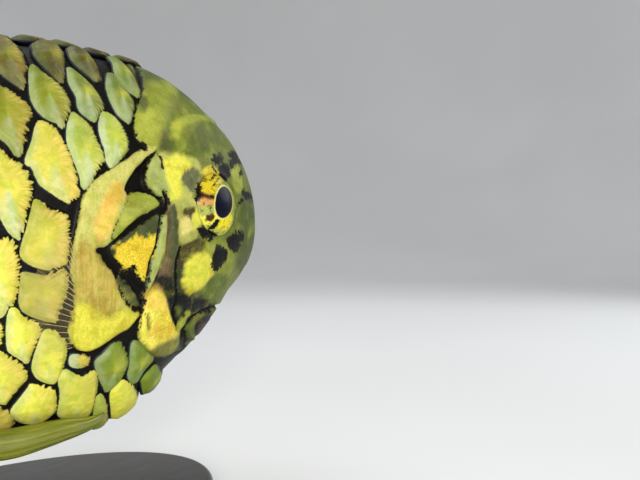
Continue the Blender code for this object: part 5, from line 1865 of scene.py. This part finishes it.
@dataclass
class Fin:
    """A fin of soft rays joined by a clear membrane.

    Attributes:
        name: Name of the piece.
        solid: The solid that it stands for.
        rays: Centre lines of the rays.
        thickness: Thickness of the membrane.
        cover: Share of light that the membrane holds back.
        root: Radius of a ray at its root.
        taper: Share of that by which it thins towards the tip.
        split: Share of the way along a ray where it splits.
        spread: How far the two twigs spread, as a share of the way to the next ray.
        scallop: How deep the edge dips between two rays, as a share of the last step.
    """

    name: str
    solid: str
    rays: list[Array]
    thickness: float = 0.25
    cover: float = 0.55
    root: float = 0.55
    taper: float = 0.72
    split: float = 0.42
    spread: float = 0.28
    scallop: float = 0.10

    def build(self, side: Side, ray_finish: Material) -> None:
        """Builds the rays, which split towards the edge, and the membrane.

        Args:
            side: The flank.
            ray_finish: Material of the rays.
        """
        rods = []
        for number, line in enumerate(self.rays):
            share = np.linspace(0.0, 1.0, len(line))
            rods.append(Rod(line, self.root * (1 - self.taper * share)))
            if 0 < number < len(self.rays) - 1:
                keep = share > self.split
                for other in (self.rays[number - 1], self.rays[number + 1]):
                    twig = line + (other - line) * (self.spread * ease(0.45, 1.0, share))[:, None]
                    rods.append(Rod(twig[keep], self.root * 0.5 * (1 - 0.6 * share[keep])))
        mesh = rods_mesh(self.name, rods, 8, side)
        add_piece(self.name, mesh, [ray_finish], (self.solid,))
        self.web(side)

    def web(self, side: Side) -> Piece:
        """Builds the membrane, a sheet given its thickness.

        Args:
            side: The flank.

        Returns:
            The membrane.
        """
        lines = []
        for one, two in zip(self.rays, self.rays[1:]):
            for t in (0.0, 0.25, 0.5, 0.75):
                line = one * (1 - t) + two * t
                dip = self.scallop * math.sin(math.pi * t)
                lines.append(np.concatenate((line[:-1], (line[-1] * (1 - dip) + line[-2] * dip)[None])))
        lines.append(self.rays[-1])
        points = BODY.world(np.array(lines))
        across, along = len(lines) - 1, len(lines[0]) - 1
        form = bmesh.new()
        for vert in bmesh.ops.create_grid(form, x_segments=across, y_segments=along, size=1.0)["verts"]:
            vert.co = points[round((vert.co.x + 1) / 2 * across), round((vert.co.y + 1) / 2 * along)]
        bmesh.ops.recalc_face_normals(form, faces=form.faces)
        bmesh.ops.solidify(form, geom=form.faces[:], thickness=self.thickness * MM)
        bmesh.ops.scale(form, vec=(1.0, -side.value, 1.0), verts=form.verts)
        bmesh.ops.recalc_face_normals(form, faces=form.faces)
        name = self.name + "_web"
        return add_piece(name, mesh_from("web", form), [WebFinish(name, self.cover).make()])


def bowed(root: Sequence[float], tip: Sequence[float], bow: Sequence[float], steps: int = 14) -> Array:
    """Points from a root to a tip, bowed in the middle.

    Args:
        root: First point.
        tip: Last point.
        bow: How far the middle is moved.
        steps: Number of points.

    Returns:
        The points.
    """
    start, end, bend = (np.array(p, float) for p in (root, tip, bow))
    share = np.linspace(0.0, 1.0, steps)[:, None]
    return start + (end - start) * share + bend * np.sin(math.pi * share)


@dataclass
class MedianFins:
    """The soft dorsal fin, the anal fin and the tail fin, all in the middle plane.

    Attributes:
        rays: Rays in the soft dorsal fin and in the anal fin.
        tail_rays: Rays in the tail fin.
        length: Whole length of the fish.
    """

    rays: int = 12
    tail_rays: int = 17
    length: float = 196.8

    def build(self, finish: Material) -> None:
        """Builds the three fins.

        Args:
            finish: Material of the rays.
        """
        for name, first, last, edge, way, tallest in (
            ("soft_dorsal_fin", 113.0, 136.0, BODY.back, 1, 21.0), ("anal_fin", 115.0, 136.0, BODY.belly, -1, 19.0),
        ):
            rays = []
            for share in np.linspace(0.0, 1.0, self.rays):
                place = first + (last - first) * share
                arch = 0.72 + 0.28 * math.sin(math.pi * min(1.0, share * 1.25 + 0.12))
                length = tallest * arch * (1 - 0.38 * share)
                root = (place, 0.0, float(edge(place)) + way * 0.6)
                lean = 0.42 + 0.55 * share
                tip = (place + length * math.sin(lean), 0.0, root[2] + way * (length * math.cos(lean) + 1.2))
                rays.append(bowed(root, tip, (0.6, 0.0, way * 0.5)))
            Fin(name + "_rays", name, rays).build(Side.RIGHT, finish)
        rays = []
        for share in np.linspace(-1.0, 1.0, self.tail_rays):
            root = (158.5, 0.0, 1.0 + share * 8.2)
            reach = self.length - 2.4 + 3.5 * abs(share) ** 1.6 - 2.0 * abs(share) ** 6
            rays.append(bowed(root, (reach, 0.0, 1.0 + share * 22.5), (0.0, 0.0, share * 1.6), 18))
        Fin("caudal_fin_rays", "caudal_fin", rays, root=0.65).build(Side.RIGHT, finish)


@dataclass
class PectoralFin:
    """A pectoral fin, fanned out over the flank behind the shoulder.

    Attributes:
        rays: Number of rays.
        root: Place and height of the upper end of its root.
        root_length: Length of the root down the shoulder.
        first_rise: Angle by which the uppermost ray rises towards the back.
        fan: Angle between the first and the last ray.
        shortest: Length of the shortest ray.
        extra: How much longer the middle rays are.
        lift: How far the tips stand off the flank.
        web: Thickness of the membrane.
        cover: Share of light that it holds back.
        radius: Radius of a ray at its root.
    """

    rays: int = 19
    root: tuple[float, float] = (71.2, -4.0)
    root_length: float = 21.5
    first_rise: float = math.radians(70.0)
    fan: float = math.radians(70.0)
    shortest: float = 5.0
    extra: float = 6.0
    lift: float = 2.4
    web: float = 0.10
    cover: float = 0.035
    radius: float = 0.07

    def ray(self, share: float, steps: int = 16) -> Array:
        """Centre line of the ray at a share of the way down the root.

        Args:
            share: Share of the way down the root.
            steps: Number of points.

        Returns:
            The points.
        """
        rise = self.first_rise - self.fan * share
        length = self.shortest + self.extra * math.sin(math.pi * (0.12 + 0.76 * share))
        run = np.linspace(0.0, 1.0, steps)
        place = self.root[0] + length * run * math.cos(rise)
        height = self.root[1] - self.root_length * share + length * run * math.sin(rise)
        return BODY.point(place, BODY.angle_by_height(place, height), 2.0 + self.lift * run ** 0.8)

    def build(self, side: Side, finish: Material) -> None:
        """Builds the fin of one side.

        Args:
            side: The side.
            finish: Material of the rays.
        """
        lines = [self.ray(share) for share in np.linspace(0.0, 1.0, self.rays)]
        name = side.name.lower()
        fin = Fin(f"pectoral_fin_rays_{name}", f"pectoral_fin_{name}", lines, self.web, self.cover, self.radius)
        fin.build(side, finish)


@dataclass
class PelvicSpine:
    """One great pelvic spine, fluted and drawn to a point.

    Attributes:
        route: Place behind the snout, y on the right flank, height and radius along it.
        flutes: Grooves round it.
        fluting: Depth of a groove, as a share of the radius.
        sides: Faces round it.
    """

    route: tuple[tuple[float, float, float, float], ...] = (
        (59.6, -19.7, -45.8, 0.9), (62.5, -20.8, -46.9, 1.5), (66.0, -21.6, -47.3, 2.0), (70.0, -22.3, -47.2, 2.6),
        (75.0, -22.2, -47.5, 3.1), (84.0, -20.6, -48.4, 3.6), (95.0, -18.6, -48.0, 2.75), (107.0, -17.2, -46.3, 1.45),
        (117.2, -16.5, -44.5, 0.12),
    )
    flutes: int = 9
    fluting: float = 0.07
    sides: int = 72

    def build(self, side: Side, finish: Material) -> Piece:
        """Builds the spine of one side.

        Args:
            side: The side.
            finish: Material of the spine.

        Returns:
            The spine.
        """
        rows = np.array(self.route)
        at = np.linspace(rows[0, 0], rows[-1, 0], 90)
        curves = [smooth_curve(rows[:, 0], rows[:, k])(at) for k in (1, 2, 3)]
        line = np.stack((at, curves[0], curves[1]), 1)
        radii = curves[2] * np.sqrt(np.clip((at - rows[0, 0] + 0.6) / 4.0, 0.05, 1.0))
        mesh = rods_mesh("pelvic_spine", [Rod(line, radii)], self.sides, side)
        points = positions(mesh)
        centre = BODY.world(line, side)
        nearest = np.clip(np.searchsorted(-centre[:, 0], -points[:, 0]), 0, len(at) - 1)
        away = points - centre[nearest]
        turn = np.arctan2(away[:, 2], away[:, 1])
        depth = 1.0 - self.fluting * (0.5 + 0.5 * np.cos(turn * self.flutes)) ** 2
        move_to(mesh, centre[nearest] + away * depth[:, None])
        name = side.name.lower()
        return add_piece(f"pelvic_horn_{name}", mesh, [finish], (f"pelvic_spine_{name}",))


@dataclass
class DorsalSpines:
    """The separate spines of the first dorsal fin, leaning to the two sides in turn.

    Attributes:
        spines: Place and length of each.
        radius: Radius near the root.
        back_lean: Lean towards the tail.
        side_lean: Lean to the side.
        sunk: Length of the root inside the body.
    """

    # Radius along a spine, as shares of its length and of the radius
    TAPER = ((0, 0.15, 0.5, 0.9, 1.0), (1.15, 1.05, 0.72, 0.26, 0.04))

    spines: tuple[tuple[float, float], ...] = (
        (84.0, 13.0), (89.0, 21.0), (94.0, 25.0), (99.0, 23.0), (104.0, 18.0), (108.5, 12.0),
    )
    radius: float = 1.9
    back_lean: float = math.radians(42.0)
    side_lean: float = math.radians(24.0)
    sunk: float = 3.0

    def build(self, finish: Material) -> Piece:
        """Builds all the spines as one piece.

        Args:
            finish: Material of the spines.

        Returns:
            The spines.
        """
        rods = []
        for number, (place, length) in enumerate(self.spines):
            side = 1 if number % 2 else -1
            way = np.array((
                math.sin(self.back_lean), side * math.sin(self.side_lean) * math.cos(self.back_lean),
                math.cos(self.side_lean) * math.cos(self.back_lean),
            ))
            root = np.array((place, side * 0.8, float(BODY.back(place)))) - way * self.sunk
            share = np.linspace(0.0, 1.0, 24)
            bend = np.array((1.0, 0.0, 0.25)) * (share ** 2 * length * 0.03)[:, None]
            line = root + way * (share * (length + self.sunk))[:, None] + bend
            rods.append(Rod(line, self.radius * np.interp(share, *self.TAPER)))
        return add_piece("dorsal_spines", rods_mesh("dorsal_spines", rods, 16), [finish])


@dataclass
class Stand:
    """Oval base and the rod that holds the fish.

    Attributes:
        length: Length of the base.
        width: Its width.
        height: Its thickness.
        at: Place of its middle behind the snout.
        rod_at: Place of the rod.
        rod_radius: Radius of the rod.
        foot_radius: Radius of the rod's foot.
        edge: Width of the eased edge round the top.
        gap: Gap between the rod and the belly's skin.
    """

    length: float = 132.0
    width: float = 84.0
    height: float = 10.0
    at: float = 84.0
    rod_at: float = 96.0
    rod_radius: float = 3.0
    foot_radius: float = 6.5
    edge: float = 2.0
    gap: float = 0.2

    def build(self) -> None:
        """Builds the base and the rod."""
        form = bmesh.new()
        shape = Matrix.Diagonal((self.length * MM, self.width * MM, self.height * MM, 1.0))
        bmesh.ops.create_cone(form, cap_ends=True, segments=160, radius1=0.5, radius2=0.5, depth=1.0, matrix=shape)
        bmesh.ops.translate(form, verts=form.verts, vec=((Body.MIDDLE - self.at) * MM, 0.0, self.height / 2 * MM))
        top = [edge for edge in form.edges if all(vert.co.z > self.height / 2 * MM for vert in edge.verts)]
        bmesh.ops.bevel(form, geom=top, offset=self.edge * MM, affect="EDGES", segments=6, profile=0.5, material=-1)
        base = add_piece("base", mesh_from("base", form), [LacquerFinish().make()], ("stand_base",))
        foot, rod, foot_top = self.foot_radius, self.rod_radius, self.height
        end = float(BODY.belly(self.rod_at)) + Body.LIFT - self.gap
        profile = (
            (0.0, 0.0), (foot, 0.0), (foot, 0.8), (foot - 0.5, 1.4), (rod + 1.2, 2.2), (rod + 0.2, 3.0), (rod, 4.2),
            (rod, end - foot_top), (0.0, end - foot_top),
        )
        form = turned([(radius * MM, (z + foot_top) * MM) for radius, z in profile], 64)
        bmesh.ops.translate(form, verts=form.verts, vec=((Body.MIDDLE - self.rod_at) * MM, 0.0, 0.0))
        held = add_piece("rod", mesh_from("rod", form), [SteelFinish().make()], ("stand_rod",))
        for piece in (base, held):
            piece.data.set_sharp_from_angle(angle=math.radians(40))


@dataclass(frozen=True)
class Studio:
    """Pale floor, soft lights and the camera.

    Attributes:
        eye: Camera's place behind the snout, to the side and above the eye's level.
        turn: Direction that it looks in, turned from straight across the fish.
        focal: Focal length on a sensor 36 wide.
        room: Radius of the round room, in metres.
        sweep: Radius of the bend between floor and wall.
        wall: Height of the wall.
        ambient: Strength of the light from all round.
    """

    # Where the lights point, and each light's name, place, width, power and colour
    AIM = (0.02, 0.0, 0.08)
    LIGHTS = (
        ("flash", (-0.26, -0.46, 0.20), 0.16, 2.5, (1.0, 0.97, 0.90)),
        ("front", (0.75, -0.15, 0.45), 0.5, 1.6, (0.94, 0.97, 1.0)),
        ("top", (-0.1, 0.3, 1.0), 0.7, 2.5, (1.0, 1.0, 1.0)),
        ("back", (-0.5, 0.9, 0.4), 0.7, 5.0, (0.96, 0.98, 1.0)),
    )

    eye: Place = (131.0, -180.0, 0.0)
    turn: float = math.radians(43.0)
    focal: float = 628.0 / 640.0 * 36.0
    room: float = 2.2
    sweep: float = 1.0
    wall: float = 2.4
    ambient: float = 0.55

    def floor(self) -> None:
        """Lays the floor, a disc that sweeps up into a round wall far from the model."""
        bend = [(self.room - self.sweep * (1 - math.sin(a)), self.sweep * (1 - math.cos(a)))
                for a in np.linspace(0.0, math.pi / 2, 17)]
        form = turned([(0.0, 0.0), *bend, (self.room, self.wall)], 96)
        if sum(face.normal.z for face in form.faces) < 0:
            bmesh.ops.reverse_faces(form, faces=form.faces)
        floor = bpy.data.objects.new("floor", mesh_from("floor", form))
        floor.data.shade_smooth()
        r = Recipe("floor")
        tone = r.veil((0.80, 0.80, 0.79, 1.0), (0.84, 0.84, 0.83, 1.0), r.noise(0.5, 2.0), 0.3, 0.7)
        floor.data.materials.append(r.finish(Base_Color=tone, Roughness=0.8))
        floor.location.z = -0.0003
        bpy.context.scene.collection.objects.link(floor)

    def light(self, name: str, place: Place, size: float, power: float, colour: Place) -> None:
        """Hangs one soft round light.

        Args:
            name: Its name.
            place: Where it hangs.
            size: Its width.
            power: Its power.
            colour: Its colour.
        """
        data = bpy.data.lights.new(name, "AREA")
        data.shape = "DISK"
        data.size, data.energy, data.color = size, power, colour
        lamp = bpy.data.objects.new(name, data)
        lamp.location = place
        lamp.rotation_euler = (Vector(self.AIM) - Vector(place)).to_track_quat("-Z", "Y").to_euler()
        bpy.context.scene.collection.objects.link(lamp)

    def camera(self) -> None:
        """Sets up the camera where the photographer was."""
        camera = bpy.data.cameras.new("camera")
        camera.lens, camera.sensor_width = self.focal, 36.0
        camera.clip_start, camera.clip_end = 0.01, 20.0
        seen = bpy.data.objects.new("camera", camera)
        seen.location = BODY.world(np.array(self.eye))
        seen.rotation_euler = (math.pi / 2, 0.0, -self.turn)
        bpy.context.scene.collection.objects.link(seen)
        bpy.context.scene.camera = seen

    def build(self) -> None:
        """Sets up the whole studio."""
        self.floor()
        world = bpy.data.worlds.new("studio")
        world.use_nodes = True
        background = world.node_tree.nodes["Background"]
        background.inputs["Color"].default_value = (0.92, 0.95, 1.0, 1.0)
        background.inputs["Strength"].default_value = self.ambient
        bpy.context.scene.world = world
        bpy.context.scene.view_settings.view_transform = "Standard"
        for row in self.LIGHTS:
            self.light(*row)
        self.camera()


def main() -> None:
    """Builds the pieces in order and sets up the studio."""
    logging.basicConfig(level=logging.INFO, format="%(name)s %(message)s")
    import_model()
    eye = EyeShape()
    Hide().build(eye)
    armour, plates = Armour(), ScuteFinish().make()
    glass = EyeFinish().make()
    rays = RayFinish("fin_ray", Tint.FIN_RAY, Tint.SCUTE_COOL).make()
    horn = RayFinish("pelvic_horn", Tint.HORN, Tint.HORN_STREAK).make()
    spine = RayFinish("dorsal_spine", Tint.SCUTE, Tint.SCUTE_COOL).make()
    for side in Side:
        armour.build(side, plates)
        Eye(eye).build(side, glass)
        PectoralFin().build(side, rays)
        PelvicSpine().build(side, horn)
    DorsalSpines().build(spine)
    MedianFins().build(rays)
    Stand().build()
    Studio().build()


if __name__ == "__main__":
    main()
